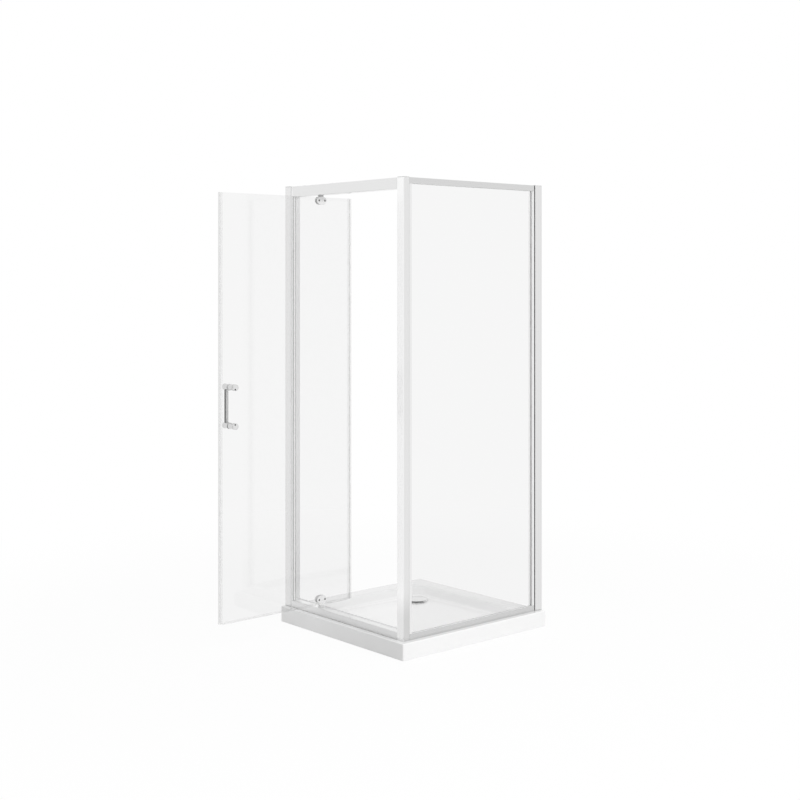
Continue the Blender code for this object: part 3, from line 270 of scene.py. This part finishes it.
def board_finish():
    """Bare chipboard: pressed flakes, lighter and darker."""
    made = Finish("pressed board", (0.5, 0.38, 0.25), 0.85)
    place = made.node("ShaderNodeMapping", {}, Vector=made.point(), Scale=(1, 1, 3))
    flakes = made.node("ShaderNodeTexVoronoi", {}, Vector=place, Scale=260.0)
    dust = made.noise(900.0, 4.0)
    made.set(Base_Color=made.shade(0.7 * flakes + 0.3 * dust, (0.62, 0.49, 0.33),
                                   (0.36, 0.26, 0.16)))
    made.bump(flakes, strength=0.2, distance=0.0005)
    return made.material


# Shaping

EASED = 0.0004
SOFT_EASED = 0.0003
ARRIS = 0.0007
ROLLED = 0.0007
MERGE = 0.00001
STRIP = 0.004
SHARP = math.radians(34)
FLAT = math.radians(1)
CORNER_STEPS = 12
EDGE_STEPS = 6
EASED_STEPS = 2
ARC_STEPS = 4
ROUND_STEPS = 64
SCREW_STEPS = 24

PIVOT = Vector((-0.185, -0.3635, 0.0))
DOOR = Matrix.Translation(PIVOT) @ Matrix.Rotation(math.radians(-90), 4, "Z")
TURNS = {
    "+Z": Matrix.Identity(4),
    "+Y": Matrix.Rotation(math.radians(-90), 4, "X"),
    "-Y": Matrix.Rotation(math.radians(90), 4, "X"),
}


def at(x, y, z, axis="+Z"):
    """A place whose Z axis points along the axis."""
    return Matrix.Translation((x, y, z)) @ TURNS[axis]


def piece(name, bm, material, body, slot, *nodes, strip=None):
    """Finish a mesh as a piece on a body, in place of CAD nodes.

    Faces wider than the strip stay flat.
    """
    for face in bm.faces:
        longest = max(edge.calc_length() for edge in face.edges)
        face.smooth = strip is None or face.calc_area() / longest < strip
    for edge in bm.edges:
        edge.smooth = len(edge.link_faces) == 2 and edge.calc_face_angle(0) < SHARP
    mesh = bpy.data.meshes.new(name)
    bm.to_mesh(mesh)
    bm.free()
    mesh.materials.append(material)
    made = bpy.data.objects.new(name, mesh)
    bpy.context.scene.collection.objects.link(made)
    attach(made, body)
    if nodes:
        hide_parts(*nodes)


def round_edges(bm, edges, width, segments):
    bmesh.ops.bevel(bm, geom=edges, offset=width, segments=segments, profile=0.5,
                    affect="EDGES", material=-1, clamp_overlap=True)


def round_corners(bm, corners, radius, segments):
    """Round the corners of a flat outline, and give its new corners."""
    return bmesh.ops.bevel(bm, geom=corners, offset=radius, segments=segments, profile=0.5,
                           affect="VERTICES", material=-1)["verts"]


def sharp_edges(bm):
    return [edge for edge in bm.edges
            if len(edge.link_faces) == 2 and edge.calc_face_angle(0) > SHARP]


def eased(node, material, body, slot, width=EASED, segments=EASED_STEPS):
    """A CAD solid with its corners eased, as drawn, rolled or polished edges are."""
    bm = bmesh.new()
    bm.from_mesh(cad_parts[node].data)
    bmesh.ops.remove_doubles(bm, verts=bm.verts[:], dist=MERGE)
    bmesh.ops.dissolve_limit(bm, angle_limit=FLAT, verts=bm.verts[:], edges=bm.edges[:])
    round_edges(bm, sharp_edges(bm), width, segments)
    piece(f"{node}_eased", bm, material, body, slot, node, strip=STRIP)


def turned(profile, place, closed=False):
    """Spin a profile of (radius, height) points about the Z axis of a place."""
    bm = bmesh.new()
    row = [bm.verts.new((radius, 0, height)) for radius, height in profile]
    following = row[1:] + row[:1] if closed else row[1:]
    edges = [bm.edges.new(pair) for pair in zip(row, following)]
    bmesh.ops.spin(bm, geom=row + edges, axis=(0, 0, 1), cent=(0, 0, 0), angle=math.tau,
                   steps=ROUND_STEPS, use_merge=True)
    bmesh.ops.remove_doubles(bm, verts=bm.verts[:], dist=MERGE)
    bmesh.ops.recalc_face_normals(bm, faces=bm.faces[:])
    bmesh.ops.transform(bm, matrix=place, verts=bm.verts[:])
    return bm


def quarter_turns():
    """Angles from 0 to a right angle, for the steps of a rounded edge."""
    return [math.pi / 2 * step / EDGE_STEPS for step in range(EDGE_STEPS + 1)]


def rounded_end(radius, end, edge):
    """Points of a turned profile where its side rounds off to its flat end."""
    return [(radius - edge * (1 - math.cos(turn)), end - edge * (1 - math.sin(turn)))
            for turn in quarter_turns()]


def rounded_profile(points, radii):
    """A profile whose corners are replaced by arcs, for the corners that have a radius."""
    result = []
    for index, point in enumerate(points):
        here = Vector(point)
        radius = radii.get(index, 0)
        if not radius:
            result.append(tuple(here))
            continue
        back = (Vector(points[index - 1]) - here).normalized()
        on = (Vector(points[index + 1]) - here).normalized()
        for step in range(ARC_STEPS + 1):
            share = step / ARC_STEPS
            near = here + back * radius * (1 - share) ** 2 + on * radius * share ** 2
            result.append(tuple(near))
    return result


def stack(bm, rings, closed=False):
    """Skin rings of (corners, height).

    They are spread out while they are bridged, so that none lies on its neighbour, and are then
    set to their heights.
    """
    edges = []
    for number, (corners, _) in enumerate(rings):
        bmesh.ops.translate(bm, verts=corners, vec=(0, 0, number))
        edges.append(list({edge for vert in corners for edge in vert.link_edges}))
    walls = [bmesh.ops.bridge_loops(bm, edges=edges[number - 1] + ring)["edges"]
             for number, ring in enumerate(edges) if number or closed]
    for corners, height in rings:
        for vert in corners:
            vert.co.z = height
    return walls


# Tray

TRAY_HALF = 0.4115
TRAY_HEIGHT = 0.068
TRAY_FOOT = 0.001
TRAY_WALL = 0.005
TRAY_CORNER = 0.006
TRAY_EDGE = 0.004
TRAY_HOLD = 0.0015
RIM_WIDTH = 0.078
SLOPE_RUN = 0.055
SLOPE_STEPS = 18
BOWL_DEPTH = 0.030
BOWL_CORNER = 0.060
BOWL_HALF = TRAY_HALF - RIM_WIDTH
FLOOR_LOW = 0.034
FLOOR_CUTS = 5
WASTE = (-0.2015, 0.2015)
RECESS_RADIUS = 0.055
RECESS_FLOOR = 0.031
RECESS_DRAFT = 0.001
RECESS_EDGE = 0.0006
WASTE_HOLE = 0.0425

ACRYLIC_LEVEL = 0.865
# Painted light on the bowl's floor and slopes, and painted shade on the front skirt
FLOOR_PAINTED_LIGHT = 0.075
SLOPE_PAINTED_LIGHT = 0.09
FRONT_PAINTED_SHADE = 0.13
FRONT_SHADE_SPREAD = (-0.35, 0.45)
FLOOR_BLEND = (FLOOR_LOW + 0.002, FLOOR_LOW + 0.012)
BOWL_BLEND = (BOWL_HALF - 0.005, BOWL_HALF)


def acrylic_finish():
    """Gloss white acrylic with the slight waviness of a vacuum-formed sheet.

    Painted light makes the floor and the slopes lighter than the rim, and painted shade darkens
    the skirt at the front along X.
    """
    made = Finish("tray acrylic", grey(0.88), 0.16, Coat_Weight=0.6, Coat_Roughness=0.06)
    waviness = made.noise(14.0, 2.0)
    film = made.noise(55.0, 4.0)
    # Painted light on the floor and slopes, and painted shade on the front skirt towards +X
    floor = made.facing("Z") * (1.0 - made.along("Z").between(*FLOOR_BLEND))
    bowl = 1.0 - made.along("Y").size().between(*BOWL_BLEND)
    front = made.facing("Y") ** 4.0 * made.along("X").between(*FRONT_SHADE_SPREAD)
    made.set(Base_Color=(ACRYLIC_LEVEL + 0.02 * waviness + FLOOR_PAINTED_LIGHT * floor
                         + SLOPE_PAINTED_LIGHT * bowl * made.facing("Y")
                         - FRONT_PAINTED_SHADE * front * (1.0 - bowl)),
             Roughness=0.12 + 0.10 * film)
    made.bump(waviness, strength=0.06, distance=0.002)
    return made.material


def square_ring(bm, inset, radius):
    """Outline of the tray, drawn in by the inset, with round corners."""
    square = bmesh.ops.create_grid(bm, x_segments=1, y_segments=1, size=TRAY_HALF - inset)
    corners = round_corners(bm, square["verts"], radius, CORNER_STEPS)
    bmesh.ops.delete(bm, geom=list({face for vert in corners for face in vert.link_faces}),
                     context="FACES_ONLY")
    return corners


def waste_ring(bm, radius):
    """Circle round the waste, with as many corners as the tray's outline."""
    count = 4 * (CORNER_STEPS + 1)
    corners = bmesh.ops.create_circle(bm, segments=count, radius=radius)["verts"]
    place = at(*WASTE, 0) @ Matrix.Rotation(math.pi / count, 4, "Z")
    bmesh.ops.transform(bm, matrix=place, verts=corners)
    return corners


def make_tray():
    """Moulded shell: skirt, rolled edge, rim, slopes, floor with its waste recess, and back."""
    bm = bmesh.new()
    rings = [(square_ring(bm, 0, TRAY_CORNER), TRAY_FOOT),
             (square_ring(bm, 0, TRAY_CORNER), TRAY_HEIGHT - TRAY_EDGE - TRAY_HOLD)]
    for turn in quarter_turns():
        inset = TRAY_EDGE * (1 - math.cos(turn))
        rings.append((square_ring(bm, inset, TRAY_CORNER - inset),
                      TRAY_HEIGHT - TRAY_EDGE * (1 - math.sin(turn))))
    rings.append((square_ring(bm, TRAY_EDGE + TRAY_HOLD, TRAY_CORNER), TRAY_HEIGHT))
    rings.append((square_ring(bm, RIM_WIDTH - TRAY_HOLD, BOWL_CORNER), TRAY_HEIGHT))
    for step in range(SLOPE_STEPS + 1):
        share = step / SLOPE_STEPS
        drop = BOWL_DEPTH * share * share * (3 - 2 * share)
        rings.append((square_ring(bm, RIM_WIDTH + SLOPE_RUN * share, BOWL_CORNER),
                      TRAY_HEIGHT - drop))
    floor = len(rings)
    for radius, height in (
            (RECESS_RADIUS + RECESS_EDGE, FLOOR_LOW), (RECESS_RADIUS, FLOOR_LOW - RECESS_EDGE),
            (RECESS_RADIUS - RECESS_DRAFT, RECESS_FLOOR), (WASTE_HOLE, RECESS_FLOOR),
            (WASTE_HOLE, RECESS_FLOOR - TRAY_WALL),
            (RECESS_RADIUS + TRAY_WALL - RECESS_DRAFT, RECESS_FLOOR - TRAY_WALL),
            (RECESS_RADIUS + TRAY_WALL, FLOOR_LOW - TRAY_WALL)):
        rings.append((waste_ring(bm, radius), height))
    for inset, radius, height in (
            (RIM_WIDTH + SLOPE_RUN, BOWL_CORNER, FLOOR_LOW - TRAY_WALL),
            (RIM_WIDTH, BOWL_CORNER, TRAY_HEIGHT - TRAY_WALL),
            (TRAY_WALL, TRAY_CORNER / 2, TRAY_HEIGHT - TRAY_WALL),
            (TRAY_WALL, TRAY_CORNER / 2, TRAY_FOOT)):
        rings.append((square_ring(bm, inset, radius), height))
    walls = stack(bm, rings, closed=True)
    bmesh.ops.subdivide_edges(bm, edges=walls[floor], cuts=FLOOR_CUTS, use_grid_fill=True)
    bmesh.ops.recalc_face_normals(bm, faces=bm.faces[:])
    piece("tray_shell", bm, acrylic_finish(), "enclosure", "white_acrylic", "shower_tray")


# Waste

COVER_Z = 0.040
COVER_RADIUS = 0.051
COVER_THICKNESS = 0.0025
COVER_DOME = 0.0025
COVER_STEPS = 24
BOSS_BORE = 0.0053
BOSS_RADIUS = 0.0083
BOSS_DROP = 0.005
FLANGE_LOW = 0.0313
FLANGE_TOP = 0.0338
FLANGE_SEAT = 0.0273
FLANGE_RADIUS = 0.0537
FLANGE_ROLL = 0.0012
MOUTH_RADIUS = 0.038
MOUTH_ROLL = 0.0006
THROAT_RADIUS = 0.0355
TAIL_RADIUS = 0.0415
TAIL_END = 0.005


def make_cover(chrome):
    """Domed cover with a rolled edge and the bored boss that sits on the strainer's stem."""
    edge = COVER_THICKNESS / 2
    flat = COVER_RADIUS - edge
    profile = [(0, COVER_Z), (BOSS_BORE, COVER_Z), (BOSS_BORE, COVER_Z - BOSS_DROP),
               (BOSS_RADIUS, COVER_Z - BOSS_DROP), (BOSS_RADIUS, COVER_Z), (flat, COVER_Z)]
    for step in range(1, EDGE_STEPS):
        turn = math.pi * step / EDGE_STEPS - math.pi / 2
        profile.append((flat + edge * math.cos(turn), COVER_Z + edge + edge * math.sin(turn)))
    for step in range(COVER_STEPS + 1):
        share = step / COVER_STEPS
        profile.append((flat * (1 - share),
                        COVER_Z + COVER_THICKNESS + COVER_DOME * math.sin(share * math.pi / 2)))
    piece("waste_cover_dome", turned(profile, at(*WASTE, 0)), chrome, "cover", "polished_chrome",
          "waste_cover")


def make_flange(chrome):
    """Flange with a rolled rim, the strainer's seat and the tail."""
    points = [(FLANGE_RADIUS, FLANGE_LOW), (FLANGE_RADIUS, FLANGE_TOP), (MOUTH_RADIUS, FLANGE_TOP),
              (MOUTH_RADIUS, FLANGE_SEAT), (THROAT_RADIUS, FLANGE_SEAT), (THROAT_RADIUS, TAIL_END),
              (TAIL_RADIUS, TAIL_END), (TAIL_RADIUS, FLANGE_LOW)]
    profile = rounded_profile(points, {1: FLANGE_ROLL, 2: MOUTH_ROLL})
    piece("waste_flange_rolled", turned(profile, at(*WASTE, 0), closed=True), chrome, "enclosure",
          "polished_chrome", "waste_flange")


# Hinges

PLATE_FACE = 0.0096
PLATE_EDGE = 0.0009
PLATE_STEPS = 3
HINGE_Z = {"top": 1.8495, "bottom": 0.1313}
BOLT_SPACING = 0.031
BOLT_HEAD = 0.0042
BOLT_DEPTH = 0.0024
BOLT_SHANK = 0.0025
BOLT_REACH = 0.0172
SOCKET_RADIUS = 0.0024
SOCKET_DEPTH = 0.0016
HEXAGON = 6


def screw_ring(bm, radius, flats=0):
    """A round ring, or one with its sides pulled in to a hexagon or such."""
    ring = bmesh.ops.create_circle(bm, segments=SCREW_STEPS, radius=radius)["verts"]
    if flats:
        half = math.pi / flats
        for vert in ring:
            turn = math.atan2(vert.co.y, vert.co.x) % (2 * half) - half
            vert.co *= math.cos(half) / math.cos(turn)
    return ring


def socket_screw(socket, sunk, head, depth, shank, reach, place):
    """Screw with a hexagon socket, its head's face at the place and its shank below."""
    bm = bmesh.new()
    rings = [(screw_ring(bm, socket, HEXAGON), -sunk), (screw_ring(bm, socket, HEXAGON), 0),
             (screw_ring(bm, head - EASED), 0), (screw_ring(bm, head), -EASED),
             (screw_ring(bm, head), -depth), (screw_ring(bm, shank), -depth),
             (screw_ring(bm, shank), -reach)]
    stack(bm, rings)
    for corners, _ in (rings[0], rings[-1]):
        bmesh.ops.contextual_create(bm, geom=corners)
    bmesh.ops.recalc_face_normals(bm, faces=bm.faces[:])
    bmesh.ops.transform(bm, matrix=place, verts=bm.verts[:])
    return bm


def make_hinges(chrome, steel):
    """Polished plates and the two bolts of each hinge."""
    for tag, z in HINGE_Z.items():
        for plate in (f"hinge_{tag}_body", f"hinge_{tag}_clamp"):
            eased(plate, chrome, "door", "polished_chrome", PLATE_EDGE, PLATE_STEPS)
        for number, way in ((1, -1), (2, 1)):
            place = DOOR @ at(way * BOLT_SPACING / 2, PLATE_FACE + EASED / 2, z, "+Y")
            bm = socket_screw(SOCKET_RADIUS, SOCKET_DEPTH, BOLT_HEAD, BOLT_DEPTH, BOLT_SHANK,
                              BOLT_REACH, place)
            piece(f"hinge_{tag}_bolt_{number}", bm, steel, "door", "stainless_screw",
                  f"hinge_{tag}_screw_{number}")


# Handle

HANDLE_X = 0.4654
HANDLE_Z = {"bottom": 0.9118, "top": 1.0698}
BAR_WIDTH = 0.013
BAR_DEPTH = 0.014
BAR_RADIUS = 0.003
BAR_OFFSET = 0.028
BAR_TUCK = 0.004
ARM_RADIUS = 0.0135
ARM_WAIST = 0.0120
ARM_START = 0.0046
ARM_END = 0.0406
ARM_EDGE = 0.002
STUD_BORE = 0.0033
STUD_END = 0.0146
STUD_RADIUS = 0.003
KNOB_START = 0.0033
KNOB_END = 0.0433
KNOB_GROOVE_END = 0.0313
KNOB_GROOVE = 0.001
KNOB_DOME = 0.003
GRUB_ASIDE = 0.0040
GRUB_OFFSET = {"bottom": 0.0076, "top": -0.0076}
GRUB_RADIUS = 0.0034
GRUB_SOCKET = 0.0022
GRUB_PROUD = 0.0006
WAIST_STEPS = 10


def waisted(start, end, full, waist):
    """Side of a post that narrows smoothly to a waist at its middle."""
    points = []
    for step in range(WAIST_STEPS + 1):
        share = step / WAIST_STEPS
        radius = full - (full - waist) * math.sin(share * math.pi) ** 2
        points.append((radius, start + (end - start) * share))
    return points


def make_bar(chrome):
    """Upright bar with rounded corners, which ends inside the two arms."""
    low, high = HANDLE_Z["bottom"], HANDLE_Z["top"]
    bm = bmesh.new()
    corners = bmesh.ops.create_grid(bm, x_segments=1, y_segments=1, size=0.5)["verts"]
    bmesh.ops.scale(bm, verts=corners, vec=(BAR_WIDTH, BAR_DEPTH, 1))
    round_corners(bm, corners, BAR_RADIUS, EDGE_STEPS)
    raised = bmesh.ops.extrude_face_region(bm, geom=bm.faces[:], use_keep_orig=True)["geom"]
    top = [item for item in raised if isinstance(item, bmesh.types.BMVert)]
    bmesh.ops.translate(bm, verts=top, vec=(0, 0, high - low + 2 * BAR_TUCK))
    bmesh.ops.recalc_face_normals(bm, faces=bm.faces[:])
    round_edges(bm, sharp_edges(bm), EASED, EASED_STEPS)
    place = DOOR @ at(HANDLE_X, -BAR_OFFSET, low - BAR_TUCK)
    bmesh.ops.transform(bm, matrix=place, verts=bm.verts[:])
    piece("handle_bar", bm, chrome, "door", "polished_chrome", "handle_grip")


def make_arm(tag, z, chrome):
    """Waisted post that carries one end of the bar, bored for the knob's stud."""
    profile = [(0, STUD_END), (STUD_BORE, STUD_END), (STUD_BORE, ARM_START)]
    profile += waisted(ARM_START, ARM_END - ARM_EDGE, ARM_RADIUS, ARM_WAIST)
    profile += rounded_end(ARM_RADIUS, ARM_END, ARM_EDGE)[1:]
    profile.append((0, ARM_END))
    place = DOOR @ at(HANDLE_X, 0, z, "-Y")
    piece(f"handle_arm_{tag}", turned(profile, place), chrome, "door", "polished_chrome",
          "handle_grip")


def make_knob(tag, z, chrome):
    """Waisted knob with a groove and a domed end, and the stud that passes through the glass."""
    rim = KNOB_GROOVE_END + KNOB_GROOVE
    profile = [(0, -STUD_END), (STUD_RADIUS, -STUD_END), (STUD_RADIUS, KNOB_START)]
    profile += waisted(KNOB_START, KNOB_GROOVE_END, ARM_RADIUS, ARM_WAIST)
    profile += [(ARM_RADIUS - KNOB_GROOVE, KNOB_GROOVE_END), (ARM_RADIUS - KNOB_GROOVE, rim),
                (ARM_RADIUS, rim)]
    profile += rounded_end(ARM_RADIUS, KNOB_END, KNOB_DOME)
    profile.append((0, KNOB_END))
    place = DOOR @ at(HANDLE_X, 0, z, "+Y")
    piece(f"handle_knob_{tag}_turned", turned(profile, place), chrome, "door", "polished_chrome",
          f"handle_knob_{tag}")


def make_grub_screw(tag, z, steel):
    """Socket screw in the end of a knob, off its axis towards the middle of the handle."""
    place = DOOR @ at(HANDLE_X + GRUB_ASIDE, KNOB_END + GRUB_PROUD, z + GRUB_OFFSET[tag], "+Y")
    bm = socket_screw(GRUB_SOCKET, GRUB_PROUD - MERGE, GRUB_RADIUS, 2 * GRUB_PROUD,
                      GRUB_RADIUS - EASED, 3 * GRUB_PROUD, place)
    piece(f"handle_grub_{tag}", bm, steel, "door", "stainless_screw")


def make_handle(chrome, bar_chrome, dark_steel):
    make_bar(bar_chrome)
    for tag, z in HANDLE_Z.items():
        make_arm(tag, z, chrome)
        make_knob(tag, z, chrome)
        make_grub_screw(tag, z, dark_steel)


# Frame profiles: finish, levels (painted light and shade by facing), length axis, roughness,
# stretches of painted shade and light, eased width, nodes

BRIGHT = 0.17
BASE_Z = 0.0683
# Painted shadow along the bottom of the frame where it stands on the tray
JOINT_SHADOW_HEIGHT = 0.003
TRAY_JOINT_SHADOW = ("Z", BASE_Z, BASE_Z + JOINT_SHADOW_HEIGHT)
# Painted shade, darker towards the foot of the corner post
POST_FOOT_SHADE = ("Z", 0.15, 0.28)
# Painted light, lighter towards the sill's left end
SILL_LEFT_LIGHT = ("X", -0.34, -0.10)
PROFILES = (
    ("channel extrusion", (0.77, 0.81, 0.84), "Z", BRIGHT, ((0.35, *TRAY_JOINT_SHADOW),), ROLLED,
     ("wall_channel_front", "wall_channel_side")),
    ("expander extrusion", (0.97, 0.99, 0.84), "Z", 0.38, (), EASED,
     ("expander_front", "expander_side")),
    ("post extrusion", (0.79, 0.96, 0.88), "Z", 0.22, ((0.18, *POST_FOOT_SHADE),), EASED,
     ("corner_post",)),
    ("hinge jamb extrusion", (0.60, 0.87, 0.80), "Z", BRIGHT, (), EASED, ("hinge_jamb",)),
    ("jamb extrusion", (0.84, 0.82, 0.80), "Z", BRIGHT, (), EASED,
     ("side_jamb_post", "side_jamb_wall")),
    ("head rail extrusion", (0.80, 0.80, 0.80), "X", BRIGHT, (), EASED, ("head_rail_front",)),
    ("sill extrusion", (0.80, 0.68, 0.84), "X", 0.36, ((0.3, *TRAY_JOINT_SHADOW), (-0.20, *SILL_LEFT_LIGHT)),
     EASED, ("door_sill",)),
    ("side sill extrusion", (0.62, 0.76, 0.76), "Y", BRIGHT, (), EASED, ("side_sill_rail",)),
    ("side head extrusion", (0.67, 0.76, 0.76), "Y", BRIGHT, (), EASED, ("side_head_rail",)),
)


def dress_profiles():
    for name, levels, length_axis, roughness, painted_shading, width, nodes in PROFILES:
        material = extrusion_finish(name, levels, length_axis, roughness, painted_shading)
        for node in nodes:
            eased(node, material, "enclosure", "bright_aluminium", width)


# Small parts, glass and seals

# Seals: finish, share that shows on sides and on ends, the ends' axis, body, nodes
SEALS = (
    ("leading seal", 0.02, 0.4, "Y", "door", ("door_leading_seal",)),
    ("trailing seal", 0.04, 0.12, "Y", "door", ("door_trailing_seal",)),
    ("bottom seal", 0.02, 0.25, "Z", "door", ("door_bottom_seal_long", "door_bottom_seal_short")),
    ("magnet strip", 0.45, 0.6, "X", "enclosure", ("strike_magnet_strip",)),
    ("post cap", 0.55, 0.7, "Z", "enclosure", ("post_cap",)),
)


def dress(material, *nodes):
    """Give a finish to CAD solids that stay in view."""
    for name in nodes:
        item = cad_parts[name]
        item.data.materials.clear()
        item.data.materials.append(material)


def dress_fittings():
    white = moulded_finish("white moulding", 0.78)
    nylon = moulded_finish("grey nylon", 0.78)
    steel = steel_finish("turned stainless", 0.42)
    rubber = rubber_finish()
    dress(board_finish(), "tray_base_board")
    dress(white, "tray_foot_centre", "tray_foot_front_left", "tray_foot_front_right",
          "tray_foot_back_right", "tray_foot_back_left", "waste_backnut", "waste_strainer")
    dress(nylon, "pivot_bush_top", "pivot_bush_bottom", "handle_sleeve_top",
          "handle_sleeve_bottom")
    dress(steel, "channel_screw_front_1", "channel_screw_front_2", "channel_screw_side_1",
          "channel_screw_side_2")
    dress(rubber, "waste_washer", "hinge_top_pad_outer", "hinge_top_pad_inner",
          "hinge_bottom_pad_outer", "hinge_bottom_pad_inner")
    for node in ("channel_cap_front", "channel_cap_side"):
        eased(node, white, "enclosure", "white_plastic")
    for node in ("side_gasket_outer", "side_gasket_inner"):
        eased(node, rubber, "enclosure", "grey_rubber", SOFT_EASED)


def dress_glass():
    glass = glass_finish()
    for node, body in (("side_glass", "enclosure"), ("door_glass", "door")):
        eased(node, glass, body, "clear_glass", ARRIS)


def dress_seals():
    for name, sides, ends, ends_axis, body, nodes in SEALS:
        material = seal_finish(name, sides, ends, ends_axis)
        for node in nodes:
            eased(node, material, body, "clear_seal", SOFT_EASED)


# Studio

FLOOR_SIZE = 60.0
FLOOR_LEVEL = -0.0002
FLOOR_GLOW = 0.93
FLOOR_FADE = (1.0, 3.0)
FILL = 0.66
WHITE = (1.0, 1.0, 1.0, 1.0)
SOFTBOX_PLACE = (3.8, -0.3, 4.4)
SOFTBOX_TARGET = (0.0, 0.0, 0.4)
SOFTBOX_SIZE = 3.4
SOFTBOX_POWER = 155.0
CAMERA_PLACE = (4.3649, -3.8489, 1.5055)
CAMERA_TURN = math.radians(49.13)
CAMERA_LENS = 59.70
CAMERA_SENSOR = 36.0
CAMERA_SHIFT = -0.14945
CAMERA_NEAR = 0.05
CAMERA_FAR = 200.0


def make_floor():
    """Pale paper that keeps the object's shadow, and turns white away from the object."""
    bm = bmesh.new()
    bmesh.ops.create_grid(bm, x_segments=1, y_segments=1, size=FLOOR_SIZE / 2)
    bmesh.ops.translate(bm, verts=bm.verts[:], vec=(0, 0, FLOOR_LEVEL))
    mesh = bpy.data.meshes.new("studio floor")
    bm.to_mesh(mesh)
    bm.free()
    floor = bpy.data.objects.new("studio_floor", mesh)
    bpy.context.scene.collection.objects.link(floor)
    made = Finish("studio paper", grey(0.86), 0.9)
    glow = made.node("ShaderNodeEmission", {}, WHITE, 1.0)
    away = (made.along("X").size() ** 2.0 + made.along("Y").size() ** 2.0) ** 0.5
    seen = FLOOR_GLOW + (1.0 - FLOOR_GLOW) * away.between(*FLOOR_FADE)
    share = made.ray("Camera") * seen + made.ray("Glossy") + made.ray("Transmission")
    made.mix_surface(share.limited(), made.plain(), glow)
    mesh.materials.append(made.material)


def make_world():
    """Soft fill light, and white wherever it is seen, mirrored or looked at through glass."""
    world = bpy.data.worlds.new("studio")
    bpy.context.scene.world = world
    world.use_nodes = True
    nodes = Nodes(world.node_tree)
    seen = (nodes.ray("Camera") + nodes.ray("Glossy") + nodes.ray("Transmission")).limited()
    background = world.node_tree.nodes["Background"]
    background.inputs["Color"].default_value = WHITE
    nodes.join(background.inputs["Strength"], FILL + (1.0 - FILL) * seen)


def make_softbox():
    data = bpy.data.lights.new("softbox right", "AREA")
    data.shape = "SQUARE"
    data.size = SOFTBOX_SIZE
    data.energy = SOFTBOX_POWER
    lamp = bpy.data.objects.new("softbox right", data)
    lamp.location = SOFTBOX_PLACE
    way = Vector(SOFTBOX_TARGET) - Vector(SOFTBOX_PLACE)
    lamp.rotation_euler = way.to_track_quat("-Z", "Y").to_euler()
    lamp.visible_glossy = False
    bpy.context.scene.collection.objects.link(lamp)


def make_camera():
    """Level camera at the photograph's place, shifted down to its frame."""
    data = bpy.data.cameras.new("camera")
    data.sensor_width = CAMERA_SENSOR
    data.lens = CAMERA_LENS
    data.shift_y = CAMERA_SHIFT
    data.clip_start = CAMERA_NEAR
    data.clip_end = CAMERA_FAR
    camera = bpy.data.objects.new("camera", data)
    camera.location = CAMERA_PLACE
    camera.rotation_euler = (math.radians(90), 0, CAMERA_TURN)
    bpy.context.scene.collection.objects.link(camera)
    bpy.context.scene.camera = camera


def make_studio():
    make_floor()
    make_world()
    make_softbox()
    make_camera()
    bpy.context.scene.view_settings.view_transform = "Standard"


def main():
    # Chrome levels by facing are painted light and shade
    chrome = chrome_finish("plated chrome", (0.74, 0.72, 0.72))
    # Painted shade: the handle bar's faces that look along Y are nearly black
    bar_chrome = chrome_finish("handle bar chrome", (0.60, 0.10, 0.5))
    hinge_chrome = chrome_finish("hinge chrome", (0.92, 0.62, 0.75))
    waste_chrome = chrome_finish("waste chrome", (0.76, 0.76, 0.79))
    steel = steel_finish("socket screw steel", 0.34)
    dark_steel = steel_finish("blackened screw steel", 0.04)
    make_tray()
    make_cover(waste_chrome)
    make_flange(waste_chrome)
    make_hinges(hinge_chrome, steel)
    make_handle(chrome, bar_chrome, dark_steel)
    dress_profiles()
    dress_fittings()
    dress_glass()
    dress_seals()
    make_studio()


main()
